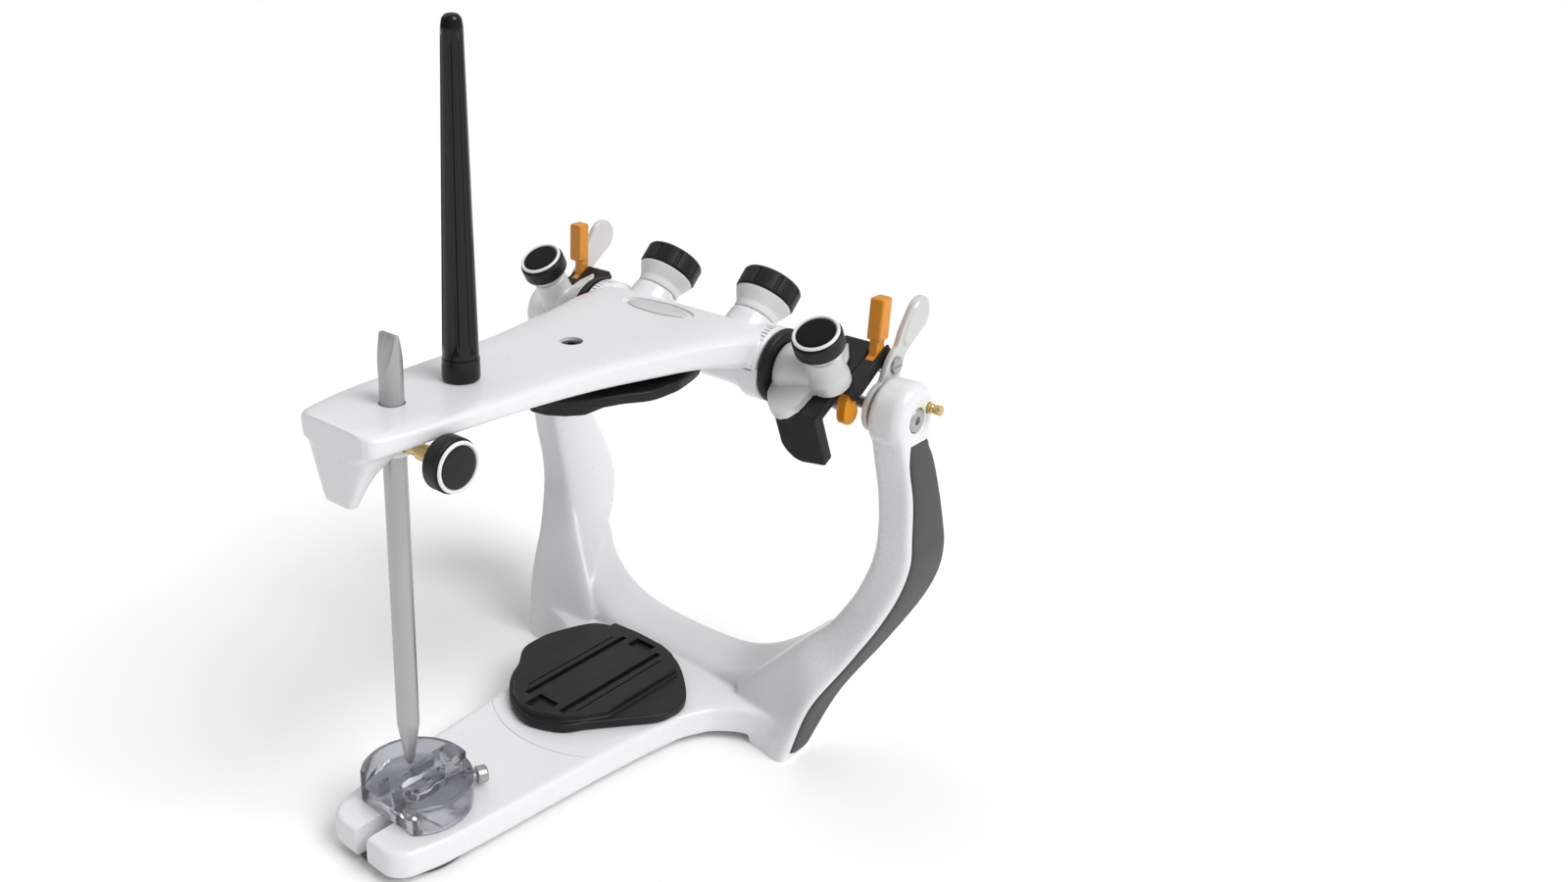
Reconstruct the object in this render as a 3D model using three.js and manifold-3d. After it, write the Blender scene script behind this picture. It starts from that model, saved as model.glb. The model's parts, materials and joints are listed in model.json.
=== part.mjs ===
// Semi-adjustable dental articulator, millimetres, +Z up, front of the instrument towards -Y.
// Right-hand pieces are drawn once at +X and mirrored for the left side.
import * as THREE from 'three';
import { mergeVertices } from 'three/addons/utils/BufferGeometryUtils.js';
import Module from 'manifold-3d';

const wasm = await Module();
wasm.setup();

// ---------------------------------------------------------------- driving dimensions
const PIN_Y = -74.4;              // incisal pin axis, measured from the middle of the footprint
const GAP = 0.3;                  // clearance left between separate pieces
const FINE_CAST = 0.2;            // the same, on the two large cast frames
const FINE = 0.09;                // slivers smaller than this are cleaned off each surface

// lower frame
const BASE_TOP = 13.1;
const BASE_BOTTOM = 3.0;
const SLOT_HALF = 2.9;            // half width of the fork slot
const SLOT_BACK = 8.0;            // slot end, behind the pin axis
const BOLT_R = 2.2;               // clamp bolt of the incisal table, in the slot
const CONDYLE_X = 55.0;           // half of the 110 mm distance between the condyles
const CONDYLE_Y = 142.5;          // behind the pin axis
const CONDYLE_Z = 128.0;
const CONDYLE_R = 5.0;
const CONDYLE_PIN_R = 2.0;
const HEAD_INNER = 70.6;          // inner face of the column heads
const HEAD_OUTER = 82.6;
const SCREW_R = 4.0;              // socket screw in the outer face of the head
const SCREW_Y = 143.1;
const SCREW_Z = 127.0;

// upper frame
const ARM_TOP = 150.9;
const PIN_R = 3.5;
const PIN_TIP = 28.9;
const PIN_TOP = 171.0;
const PIN_SCREW_Z = 139.7;
const POST_Y = 25.9;
const POST_TOP = 252.2;
const PLATE_Y = 87.5;
const UPPER_PLATE_Y = 81.0;
const PLATE_SCREW_Y = 72.2;
const BARREL_Y = 128.6;           // condylar inclination axis
const BARREL_Z = 138.2;
const BARREL_R = 12.4;
const BARREL_IN = 12.0;
const BARREL_OUT = 38.6;
const SHAFT_R = 7.0;
const KNOB_X = 21.1;              // rear clamping knobs, leaning back 45 degrees
const CLINE = THREE.MathUtils.degToRad(30);   // condylar inclination the guides stand at

// condylar guide, in its own frame: u along the roof to the rear, w square to the roof
const BENNETT_X = 58.9;
const ROOF_TOP = -1.7;
const ROOF_BOTTOM = -5.0;
const GUIDE_IN = 46.0;
const GUIDE_OUT = 62.3;
const LOCK_U = 19.2;              // pivot of the centric lock
const LOCK_W = -8.4;

// ---------------------------------------------------------------- colours
const WHITE = { color: 0xeeeeec, roughness: 0.32, metalness: 0.0 };
const BLACK = { color: 0x17181a, roughness: 0.45, metalness: 0.0 };
const BLACK_GLOSS = { color: 0x0c0c0d, roughness: 0.18, metalness: 0.0 };
const RUBBER = { color: 0x3f4041, roughness: 0.85, metalness: 0.0 };
const SATIN = { color: 0xb4b5b3, roughness: 0.4, metalness: 0.75 };
const STEEL = { color: 0x9a9b9b, roughness: 0.3, metalness: 0.9 };
const BRASS = { color: 0xb59a55, roughness: 0.3, metalness: 0.95 };
const AMBER = { color: 0xc8730d, roughness: 0.3, metalness: 0.0 };
const SMOKE = { color: 0x6c7078, roughness: 0.12, metalness: 0.0 };

// ---------------------------------------------------------------- solid helpers
function solid(geometry) {
  geometry.deleteAttribute('normal');
  geometry.deleteAttribute('uv');
  const merged = mergeVertices(geometry, 1e-4);
  return new wasm.Manifold(new wasm.Mesh({
    numProp: 3,
    vertProperties: new Float32Array(merged.attributes.position.array),
    triVerts: new Uint32Array(merged.index.array),
  }));
}

function join(...parts) {
  return parts.reduce((sum, part) => sum.add(part));
}

function cut(body, ...tools) {
  return tools.reduce((left, tool) => left.subtract(tool), body);
}

function surface(body, fine = FINE) {
  const mesh = body.simplify(fine).getMesh();
  const geometry = new THREE.BufferGeometry();
  geometry.setAttribute('position', new THREE.BufferAttribute(new Float32Array(mesh.vertProperties), 3));
  geometry.setIndex(new THREE.BufferAttribute(new Uint32Array(mesh.triVerts), 1));
  return geometry;
}

function mirrored(geometry) {
  const copy = geometry.clone();
  copy.scale(-1, 1, 1);
  const index = copy.index.array;
  for (let i = 0; i < index.length; i += 3) {
    const first = index[i];
    index[i] = index[i + 1];
    index[i + 1] = first;
  }
  return copy;
}

function box(x0, x1, y0, y1, z0, z1) {
  const geometry = new THREE.BoxGeometry(x1 - x0, y1 - y0, z1 - z0);
  geometry.translate((x0 + x1) / 2, (y0 + y1) / 2, (z0 + z1) / 2);
  return solid(geometry);
}

function ball(radius, x, y, z, rings = 8) {
  const geometry = new THREE.SphereGeometry(radius, rings * 2, rings);
  geometry.translate(x, y, z);
  return solid(geometry);
}

// a turned piece: profile of [radius, height] pairs, starting and ending on the axis
function turned(profile, sides = 20) {
  return new THREE.LatheGeometry(profile.map(([r, h]) => new THREE.Vector2(r, h)), sides);
}

function turnedZ(profile, x, y, z, sides = 20) {
  const geometry = turned(profile, sides);
  geometry.rotateX(Math.PI / 2);
  geometry.translate(x, y, z);
  return solid(geometry);
}

function turnedX(profile, x, y, z, sides = 20) {
  const geometry = turned(profile, sides);
  geometry.rotateZ(-Math.PI / 2);
  geometry.translate(x, y, z);
  return solid(geometry);
}

function rodX(radius, x0, x1, y, z, sides = 18) {
  return turnedX([[0, x0], [radius, x0], [radius, x1], [0, x1]], 0, y, z, sides);
}

function rodZ(radius, z0, z1, x, y, sides = 18) {
  return turnedZ([[0, z0], [radius, z0], [radius, z1], [0, z1]], x, y, 0, sides);
}

// an outline of [a, b] pairs pushed along the third direction, with a small edge round
function slab(outline, depth, round, holes = []) {
  const shape = new THREE.Shape(outline.map(([a, b]) => new THREE.Vector2(a, b)));
  for (const hole of holes) {
    shape.holes.push(new THREE.Path(hole.map(([a, b]) => new THREE.Vector2(a, b))));
  }
  const options = { depth: depth - 2 * round, bevelEnabled: round > 0, curveSegments: 8 };
  Object.assign(options, { bevelThickness: round, bevelSize: round, bevelOffset: -round, bevelSegments: 1 });
  const geometry = new THREE.ExtrudeGeometry(shape, options);
  geometry.translate(0, 0, round);
  return geometry;
}

// points of a smooth closed outline through the given corners
function smoothOutline(points, count) {
  const curve = new THREE.CatmullRomCurve3(points.map(([a, b]) => new THREE.Vector3(a, b, 0)), true);
  return curve.getPoints(count).slice(0, count).map((p) => [p.x, p.y]);
}

// A body drawn through rounded sections. Each station gives its centre, the two half widths,
// the directions they lie along, and a squareness (2 is an ellipse, larger is boxier).
function loft(stations, around = 28, along = 24) {
  const geometry = new THREE.CylinderGeometry(1, 1, 1, around, along);
  const curve = (pick) => new THREE.CatmullRomCurve3(stations.map((s) => new THREE.Vector3(...pick(s))));
  const centre = curve((s) => s.at);
  const first = curve((s) => s.u);
  const second = curve((s) => s.v);
  const shape = curve((s) => [s.a, s.b, s.n]);
  const position = geometry.attributes.position;
  const point = new THREE.Vector3();
  for (let i = 0; i < position.count; i += 1) {
    point.fromBufferAttribute(position, i);
    const t = THREE.MathUtils.clamp(point.y + 0.5, 0, 1);
    const radius = Math.min(1, Math.hypot(point.x, point.z));
    const step = Math.round((Math.atan2(point.x, point.z) / (2 * Math.PI)) * around + around) % around;
    const angle = (step / around) * 2 * Math.PI;
    const size = shape.getPoint(t);
    const across = Math.sign(Math.cos(angle)) * Math.abs(Math.cos(angle)) ** (2 / size.z);
    const deep = Math.sign(Math.sin(angle)) * Math.abs(Math.sin(angle)) ** (2 / size.z);
    const place = centre.getPoint(t);
    place.addScaledVector(first.getPoint(t).normalize(), radius * size.x * across);
    place.addScaledVector(second.getPoint(t).normalize(), radius * size.y * deep);
    position.setXYZ(i, place.x, place.y, place.z);
  }
  const body = solid(geometry);
  return body.volume() > 0 ? body : solid(flipped(geometry));
}

function flipped(geometry) {
  const index = geometry.index.array;
  for (let i = 0; i < index.length; i += 3) {
    const first = index[i];
    index[i] = index[i + 1];
    index[i + 1] = first;
  }
  return geometry;
}

const group = new THREE.Group();
group.name = 'dental_articulator';

function place(name, geometry, look) {
  geometry.translate(0, PIN_Y, 0);
  geometry.computeVertexNormals();
  const mesh = new THREE.Mesh(geometry, new THREE.MeshStandardMaterial(look));
  mesh.name = name;
  group.add(mesh);
}

function add(name, body, look, fine = FINE) {
  place(name, surface(body, fine), look);
}

function addPair(name, body, look) {
  const right = surface(body);
  const left = mirrored(right);
  place(`${name}_r`, right, look);
  place(`${name}_l`, left, look);
}

// ---------------------------------------------------------------- lower frame
// right column: inner and outer face at each level, then front and rear edge of the section
const COLUMN = [
  { inner: [34, 16], outer: [59, -15], front: [118, 116], rear: [142, 124], n: 6 },
  { inner: [43, 26], outer: [63, 2.6], front: [122, 117.6], rear: [148, 128], n: 6 },
  { inner: [53, 37.8], outer: [67.5, 21.5], front: [130, 120.5], rear: [156, 139], n: 6 },
  { inner: [60, 45.5], outer: [73.8, 37.5], front: [136, 131.5], rear: [166, 157], n: 7 },
  { inner: [65.2, 55], outer: [79.6, 52], front: [140, 139], rear: [170.5, 168], n: 7 },
  { inner: [69.3, 65], outer: [83.4, 63.8], front: [141.3, 142], rear: [170, 170], n: 7 },
  { inner: [72.5, 76], outer: [86.2, 76], front: [141, 141.5], rear: [166, 166], n: 7 },
  { inner: [73.8, 87], outer: [86.3, 87], front: [139.6, 140.5], rear: [162, 162], n: 7 },
  { inner: [73.0, 100], outer: [85.6, 100], front: [138.6, 139.8], rear: [157, 157], n: 7 },
  { inner: [71.5, 112], outer: [84.0, 112], front: [136.5, 138], rear: [153, 153], n: 7 },
  { inner: [HEAD_INNER, 124], outer: [HEAD_OUTER, 124], front: [134, 134], rear: [153, 153], n: 7 },
];

function columnStations(inset, depthInset) {
  return COLUMN.map((s) => {
    const inner = new THREE.Vector3(s.inner[0], (s.front[0] + s.rear[0]) / 2, s.inner[1]);
    const outer = new THREE.Vector3(s.outer[0], (s.front[1] + s.rear[1]) / 2, s.outer[1]);
    const across = outer.clone().sub(inner);
    const middle = inner.clone().add(outer).multiplyScalar(0.5);
    const depth = (s.rear[0] - s.front[0] + s.rear[1] - s.front[1]) / 4;
    return { at: middle.toArray(), u: across.toArray(), v: [0, 1, 0],
      a: across.length() / 2 - inset, b: depth - depthInset, n: s.n, outer, depth };
  });
}

// the rubber lies in the outer face from just under the head to the foot
function gripStations(thick, spare) {
  const list = columnStations(0, 0).slice(1);
  return list.map((s, i) => {
    const share = i / (list.length - 1);
    const outward = new THREE.Vector3(...s.u).normalize();
    const at = s.outer.clone().addScaledVector(outward, -0.6);
    const rear = 0.9;
    const taper = [0.62, 0.84, 0.85, 0.85, 0.85, 0.85, 0.86, 0.87, 0.86, 0.52][i];
    at.y += rear + share * 0.6;
    if (i === list.length - 1) at.z -= 5;
    return { at: at.toArray(), u: s.u, v: [0, 1, 0], a: thick, b: s.depth * taper + spare, n: 3.2 };
  });
}

function baseSlab() {
  const half = [[13, -21.2], [17.5, -17], [20.5, -5], [22.5, 15], [24, 35], [26, 60], [28.5, 82],
    [31, 98], [35.5, 108], [42, 114], [50, 117.5], [58, 118.3], [62.6, 118.5], [63.2, 120.8],
    [61, 127], [50, 135], [38, 141], [24, 145], [10, 146.2]];
  const outline = [...half, ...half.map(([x, y]) => [-x, y]).reverse()];
  const geometry = slab(outline, BASE_TOP - BASE_BOTTOM, 1.5);
  geometry.translate(0, 0, BASE_BOTTOM);
  return solid(geometry);
}

// low bridge that carries the base up into the two columns
function saddle() {
  const across = [-54, -46, -34, -20, 0, 20, 34, 46, 54];
  const top = [38, 30.5, 22.5, 17.6, 16.4, 17.6, 22.5, 30.5, 38];
  const foot = [24, 14, 8, 5.5, 5, 5.5, 8, 14, 24];
  const middle = [143, 138, 135.6, 135.6, 135.6, 135.6, 135.6, 138, 143];
  const stations = across.map((x, i) => ({
    at: [x, middle[i], (top[i] + foot[i]) / 2], u: [0, 0.12, 1], v: [0, 1, 0.26],
    a: (top[i] - foot[i]) / 2, b: 11.2, n: 4,
  }));
  return loft(stations, 20, 14);
}

function headDisc() {
  const profile = [[0, HEAD_INNER], [10.6, HEAD_INNER], [11.4, HEAD_INNER + 1.2], [11.6, HEAD_OUTER - 3]];
  profile.push([10.2, HEAD_OUTER - 0.6], [7.5, HEAD_OUTER], [0, HEAD_OUTER]);
  return turnedX(profile, 0, 144, 127, 20);
}

function foot() {
  const outline = [[46, 116.6], [58, 117.4], [62.4, 118.0], [63.0, 120.6], [58, 127], [46, 128]];
  const geometry = slab(outline, 8, 0.6);
  return solid(geometry);
}

function lowerFrame() {
  let body = baseSlab();
  body = join(body, saddle());
  for (const side of [1, -1]) {
    const column = join(loft(columnStations(0, 0), 16, 18), headDisc(), foot());
    const geometry = surface(column, 0.01);
    body = join(body, solid(side > 0 ? geometry : mirrored(geometry)));
  }
  body = cut(body, box(-200, 200, 0, 300, -20, 0));
  const slotEnd = rodZ(SLOT_HALF, 0, 20, 0, SLOT_BACK, 20);
  body = cut(body, box(-SLOT_HALF, SLOT_HALF, -40, SLOT_BACK, 0, 20), slotEnd);
  for (const side of [1, -1]) {
    const pocket = loft(gripStations(1.8, 0.45), 12, 14);
    const bore = rodX(CONDYLE_PIN_R + GAP, 60, HEAD_OUTER - 4, CONDYLE_Y, CONDYLE_Z, 20);
    const screwSeat = rodX(SCREW_R + GAP, 77, 84, SCREW_Y, SCREW_Z, 16);
    const stubSeat = rodX(1.9, 76, 90, CONDYLE_Y + 7, CONDYLE_Z + 1.6, 16);
    for (const tool of [pocket, bore, screwSeat, stubSeat]) {
      const geometry = surface(tool, 0.01);
      body = cut(body, solid(side > 0 ? geometry : mirrored(geometry)));
    }
  }
  return cut(body, rodZ(3.0, 0, 20, 0, PLATE_Y, 16));
}

function lowerPieces() {
  add('lower_frame', lowerFrame(), WHITE, FINE_CAST);
  addPair('grip_pad', loft(gripStations(1.4, 0), 12, 14), RUBBER);
  const sphere = ball(CONDYLE_R, CONDYLE_X, CONDYLE_Y, CONDYLE_Z);
  const stem = rodX(CONDYLE_PIN_R, CONDYLE_X, HEAD_OUTER - 5.5 - GAP, CONDYLE_Y, CONDYLE_Z, 16);
  addPair('condyle', join(sphere, stem), STEEL);
  const screwHead = [[0, 77.3], [SCREW_R, 77.3], [SCREW_R, 82.4], [SCREW_R - 0.4, 82.8], [0, 82.8]];
  const key = rodX(1.6, 81.2, 90, SCREW_Y, SCREW_Z, 6);
  const setScrew = cut(turnedX(screwHead, 0, SCREW_Y, SCREW_Z, 16), key);
  addPair('condyle_set_screw', setScrew, SATIN);
  const stub = [[0, 76.3], [1.6, 76.3], [1.6, 86.6], [1.2, 87.1], [0, 87.1]];
  addPair('facebow_stub', turnedX(stub, 0, CONDYLE_Y + 7, CONDYLE_Z + 1.6, 16), BRASS);
}

// ---------------------------------------------------------------- mounting plates
const PLATE_OUTLINE = [[-31, 30], [-37, 15.3], [-37.9, 8], [-37, -1], [-31, -9.5], [-28, -15.5], [-24, -21],
  [-17.6, -27], [-10.4, -31], [-2.6, -32], [8, -27], [13.2, -19.3], [21.5, -8], [27.9, 1], [29.3, 7.5],
  [29, 12.5], [26.6, 17.5], [21.2, 23.5], [14.4, 29.5], [8.2, 33.5], [1.7, 35.5], [-11, 36], [-22, 35]];
const PLATE_BAND = [[-22, -20.5], [-17, -25.8], [-10, -29.6], [-2.6, -30.6], [6.5, -26], [11.5, -19.5],
  [15.7, -12], [15.7, 26], [8, 32], [1.5, 34], [-11, 34.6], [-22, 33.5]];

function mountingPlate() {
  const low = solid(slab(smoothOutline(PLATE_OUTLINE, 28), 3.4, 0.6));
  const raised = slab(PLATE_BAND, 2.9, 0.5);
  raised.translate(0, 0, 2.9);
  let body = join(low, solid(raised));
  for (const x of [-12, 4.6]) {
    body = cut(body, box(x - 1.1, x + 1.1, -24, 28, 4.2, 9));
  }
  return cut(body, box(-8.1, 0.7, -29, -21, 4.4, 9), box(-8.1, 0.7, 25, 31, 4.4, 9));
}

function plates() {
  const lower = surface(mountingPlate());
  lower.translate(0, PLATE_Y, BASE_TOP + GAP);
  place('lower_mounting_plate', lower, BLACK);
  const upper = surface(cut(mountingPlate(), rodZ(1.9, -1, 3.2, 0, PLATE_SCREW_Y - UPPER_PLATE_Y, 20)));
  upper.rotateY(Math.PI);
  upper.scale(0.72, 0.94, 1);
  upper.translate(0, UPPER_PLATE_Y, 139.2);
  place('upper_mounting_plate', upper, BLACK);
  const screw = [[0, 4.6], [1.6, 4.6], [1.6, 8.4], [3.4, 8.4], [3.4, 12.0], [2.9, 12.4], [0, 12.4]];
  const low = [[0, 3.2], [2.6, 3.2], [2.6, 11.4], [2.2, 12.0], [0, 12.0]];
  const slot = box(-0.5, 0.5, PLATE_Y - 4, PLATE_Y + 4, 2, 4.4);
  add('lower_plate_screw', cut(turnedZ(low, 0, PLATE_Y, 0, 16), slot), STEEL);
  const head = cut(turnedZ(screw, 0, PLATE_SCREW_Y, 137.6, 16), hexKey(PLATE_SCREW_Y, 148.2));
  add('upper_plate_screw', head, BLACK);
}

function hexKey(y, z) {
  return turnedZ([[0, 0], [1.5, 0], [1.5, 9], [0, 9]], 0, y, z, 6);
}

// ---------------------------------------------------------------- upper frame
const ARM = [
  { y: -21.4, half: 13.0, low: 142.2, n: 4 }, { y: -17.5, half: 16.6, low: 143.4, n: 5 },
  { y: 0, half: 19.6, low: 144.9, n: 6 }, { y: 20, half: 20.6, low: 144.7, n: 6 },
  { y: 40, half: 21.8, low: 144.2, n: 6 }, { y: 60, half: 23.6, low: 143.2, n: 6 },
  { y: 80, half: 27.4, low: 142.2, n: 6 }, { y: 100, half: 31.8, low: 141.0, n: 6 },
  { y: 114, half: 36.0, low: 138.0, n: 5 }, { y: 126, half: 38.0, low: 133.0, n: 5 },
];

function arm() {
  const stations = ARM.map((s) => ({
    at: [0, s.y, (ARM_TOP + s.low) / 2], u: [1, 0, 0], v: [0, 0, 1],
    a: s.half, b: (ARM_TOP - s.low) / 2, n: s.n,
  }));
  return loft(stations, 20, 14);
}

// downward lip at the front end: flat in front, hollow behind
function beak() {
  const stations = [
    { at: [0, -12.7, 147.4], a: 16.0, b: 8.6 }, { at: [0, -14.7, 142.4], a: 13.6, b: 6.6 },
    { at: [0, -17.5, 137.0], a: 10.6, b: 3.8 }, { at: [0, -18.9, 131.0], a: 7.8, b: 2.4 },
    { at: [0, -19.4, 126.6], a: 5.6, b: 1.9 },
  ].map((s) => ({ ...s, u: [1, 0, 0], v: [0, 1, 0], n: 5 }));
  return loft(stations, 20, 8);
}

function barrel() {
  const r = BARREL_R;
  const waist = 2.4;
  const profile = [[0, BARREL_IN], [r - waist, BARREL_IN], [r - waist, 20.0]];
  for (const share of [0.3, 0.6, 0.85, 1]) {
    profile.push([r - waist * Math.sqrt(1 - share * share), 20.0 + 11.5 * share]);
  }
  profile.push([r, BARREL_OUT - 0.8], [r - 0.8, BARREL_OUT], [0, BARREL_OUT]);
  const boss = turned([[0, 0], [9.6, 0], [8.6, 9], [7.9, 13.6], [0, 13.6]], 16);
  boss.rotateX(Math.PI / 4);
  boss.translate(KNOB_X, BARREL_Y, BARREL_Z);
  return join(turnedX(profile, 0, BARREL_Y, BARREL_Z, 20), solid(boss));
}

function upperFrame() {
  let body = join(arm(), beak(), rodZ(5.6, 136.0, 148, 0, 0, 16));
  const right = surface(barrel(), 0.01);
  body = join(body, solid(right.clone()), solid(mirrored(right)));
  body = cut(body, rodZ(PIN_R + GAP, 100, 200, 0, 0, 20));
  body = cut(body, rodX(1.9 + GAP, 2, 30, 0, PIN_SCREW_Z, 20));
  body = cut(body, rodZ(3.0 + GAP, 146.4, 160, 0, POST_Y, 16));
  body = cut(body, rodZ(3.7, 145.4, 160, 0, PLATE_SCREW_Y, 16), rodZ(2.0, 120, 160, 0, PLATE_SCREW_Y, 20));
  body = cut(body, rodX(SHAFT_R + GAP, -60, 60, BARREL_Y, BARREL_Z, 16));
  body = cut(body, rearScoop(), box(-45, 45, 38, 117.6, 100, 139.5));
  body = cut(body, box(-BARREL_IN, BARREL_IN, 118, 160, 100, 145.8));
  for (const side of [1, -1]) {
    body = cut(body, knobBore(side));
  }
  return body;
}

// concave rear edge between the two knob bosses
function rearScoop() {
  return rodZ(15.5, 100, 160, 0, 145.4, 20);
}

function knobBore(side) {
  const geometry = turned([[0, 9.4], [2.5, 9.4], [2.5, 20], [0, 20]], 20);
  geometry.rotateX(Math.PI / 4);
  geometry.translate(side * KNOB_X, BARREL_Y, BARREL_Z);
  return solid(geometry);
}

function supportPost() {
  const profile = [[0, 147.0], [2.9, 147.0], [2.9, ARM_TOP + GAP], [5.6, ARM_TOP + GAP], [5.7, 152.4],
    [5.6, 157.5], [5.35, 158.2], [3.1, 248.6], [2.7, 250.8], [1.7, 251.9], [0, POST_TOP]];
  let body = turnedZ(profile, 0, POST_Y, 0, 16);
  const grooves = 8;
  for (let i = 0; i < grooves; i += 1) {
    const angle = (i / grooves) * 2 * Math.PI;
    const flute = new THREE.CylinderGeometry(0.55, 0.8, 78, 6);
    flute.rotateX(Math.PI / 2);
    flute.rotateY(-0.018);
    flute.translate(5.15, 0, 200);
    flute.rotateZ(angle);
    flute.translate(0, POST_Y, 0);
    body = cut(body, solid(flute));
  }
  return body;
}

function incisalPin() {
  const profile = [[0, PIN_TIP], [0.8, PIN_TIP + 0.3], [1.5, PIN_TIP + 2], [PIN_R, PIN_TIP + 15.5],
    [PIN_R, PIN_TOP], [0, PIN_TOP]];
  const body = turnedZ(profile, 0, 0, 0, 20);
  const chisel = (side) => {
    const geometry = new THREE.BoxGeometry(12, 12, 40);
    geometry.translate(0, side * 6, 0);
    geometry.rotateX(side * 0.247);
    geometry.translate(0, side * 0.6, PIN_TOP);
    return solid(geometry);
  };
  return cut(body, chisel(1), chisel(-1));
}

function pinScrew() {
  const z = PIN_SCREW_Z;
  const shaft = [[0, 3.8 + GAP], [1.9, 3.8 + GAP], [1.9, 11], [2.5, 11.3], [2.5, 20.2], [0, 20.2]];
  add('pin_screw_shaft', turnedX(shaft, 0, 0, z, 16), BRASS);
  const knob = [[0, 20.5], [7.3, 20.5], [8.0, 21.2], [8.0, 25.8], [7.2, 26.2], [0, 26.2]];
  add('pin_screw_knob', turnedX(knob, 0, 0, z, 20), BLACK);
  const ring = [[0, 26.5], [7.4, 26.5], [7.3, 27.2], [6.9, 27.5], [6.5, 27.2], [0, 27.2]];
  add('pin_screw_cap', turnedX(ring, 0, 0, z, 20), WHITE);
}

function rearKnobs() {
  const lean = (geometry) => {
    geometry.rotateX(Math.PI / 4);
    geometry.translate(KNOB_X, BARREL_Y, BARREL_Z);
    return solid(geometry);
  };
  const neck = [[0, 9.7], [2.2, 9.7], [2.2, 13.9], [7.6, 13.9], [7.8, 16.4], [9.6, 19.6], [10.2, 20.8]];
  neck.push([0, 20.8]);
  addPair('rear_knob_neck', lean(turned(neck, 20)), WHITE);
  const capProfile = [[0, 21.1], [10.5, 21.1], [10.5, 27.4], [9.8, 28.2], [0, 28.2]];
  let cap = lean(turned(capProfile, 20));
  for (const turn of [0, 60, 120, 180, 240, 300]) {
    const notch = new THREE.CylinderGeometry(0.45, 0.45, 5.2, 6);
    notch.translate(10.6, 24.6, 0);
    notch.rotateY(THREE.MathUtils.degToRad(turn));
    cap = cut(cap, lean(notch));
  }
  addPair('rear_knob_cap', cap, BLACK);
}

// ---------------------------------------------------------------- condylar guides
// turns guide-frame points (x, u, w) into place around the barrel axis
function inGuideFrame(geometry) {
  geometry.rotateX(CLINE);
  geometry.translate(0, BARREL_Y, BARREL_Z);
  return geometry;
}

function guideBox(x0, x1, u0, u1, w0, w1) {
  const geometry = new THREE.BoxGeometry(x1 - x0, u1 - u0, w1 - w0);
  geometry.translate((x0 + x1) / 2, (u0 + u1) / 2, (w0 + w1) / 2);
  return solid(inGuideFrame(geometry));
}

function guideTurned(profile, x, sides = 20) {
  const geometry = turned(profile, sides);
  geometry.rotateX(Math.PI / 2);
  geometry.translate(x, 0, 0);
  return solid(inGuideFrame(geometry));
}

// plate seen from the side: outline of [u, w] pairs, pushed along X
function sidePlate(outline, x0, x1, round = 0.3) {
  const geometry = slab(outline, x1 - x0, round);
  geometry.rotateX(Math.PI / 2);
  geometry.rotateZ(Math.PI / 2);
  geometry.translate(x0, 0, 0);
  return solid(inGuideFrame(geometry));
}

function disc(u, w, r, count = 16) {
  const points = [];
  for (let i = 0; i < count; i += 1) {
    const t = (i / count) * 2 * Math.PI;
    points.push([u + r * Math.cos(t), w + r * Math.sin(t)]);
  }
  return points;
}

// plate seen from the front: outline of [x, w] pairs, pushed along u
function frontPlate(outline, u0, u1) {
  const geometry = slab(outline, u1 - u0, 0);
  geometry.rotateX(Math.PI / 2);
  geometry.translate(0, u1, 0);
  return solid(inGuideFrame(geometry));
}

function condylarGuide() {
  const plan = [[GUIDE_IN, -14.8], [GUIDE_OUT, -14.8], [GUIDE_OUT, 20.6], [51.5, 20.6], [50.5, 15.5]];
  plan.push([GUIDE_IN, 2.2]);
  const top = slab(plan, ROOF_TOP - ROOF_BOTTOM, 0.3);
  top.translate(0, 0, ROOF_BOTTOM);
  const roof = solid(inGuideFrame(top));
  const legSide = [[-17.2, -24.4], [-13.4, -24.6], [-12.6, -3], [-14.8, ROOF_TOP]];
  const legFront = [[GUIDE_IN - 1, 0], [GUIDE_IN - 1, -17], [47.4, -21], [49.8, -23.4], [52.5, -24.2],
    [60, -22.6], [GUIDE_OUT + 1, -22], [GUIDE_OUT + 1, 0]];
  const leg = sidePlate(legSide, GUIDE_IN, GUIDE_OUT).intersect(frontPlate(legFront, -20, -10));
  const innerSide = [[-15.4, -20.0], [-6, -19.4], [-0.5, -13], [1.6, -3], [-14.8, -3]];
  const innerWall = sidePlate(innerSide, GUIDE_IN, GUIDE_IN + 1.7);
  const cheek = sidePlate(disc(LOCK_U, LOCK_W, 3.0), GUIDE_OUT - 1.8, GUIDE_OUT);
  const cheekWeb = guideBox(GUIDE_OUT - 1.8, GUIDE_OUT, LOCK_U - 2.6, LOCK_U + 1.4, LOCK_W, ROOF_TOP);
  const body = join(roof, leg, innerWall, cheek, cheekWeb);
  const screwHole = guideTurned([[0, -8], [1.7 + GAP, -8], [1.7 + GAP, 2], [0, 2]], BENNETT_X, 20);
  const pivotHole = sidePlate(disc(LOCK_U, LOCK_W, 1.2 + GAP, 16), 55, 70, 0);
  return cut(body, screwHole, pivotHole);
}

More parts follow.
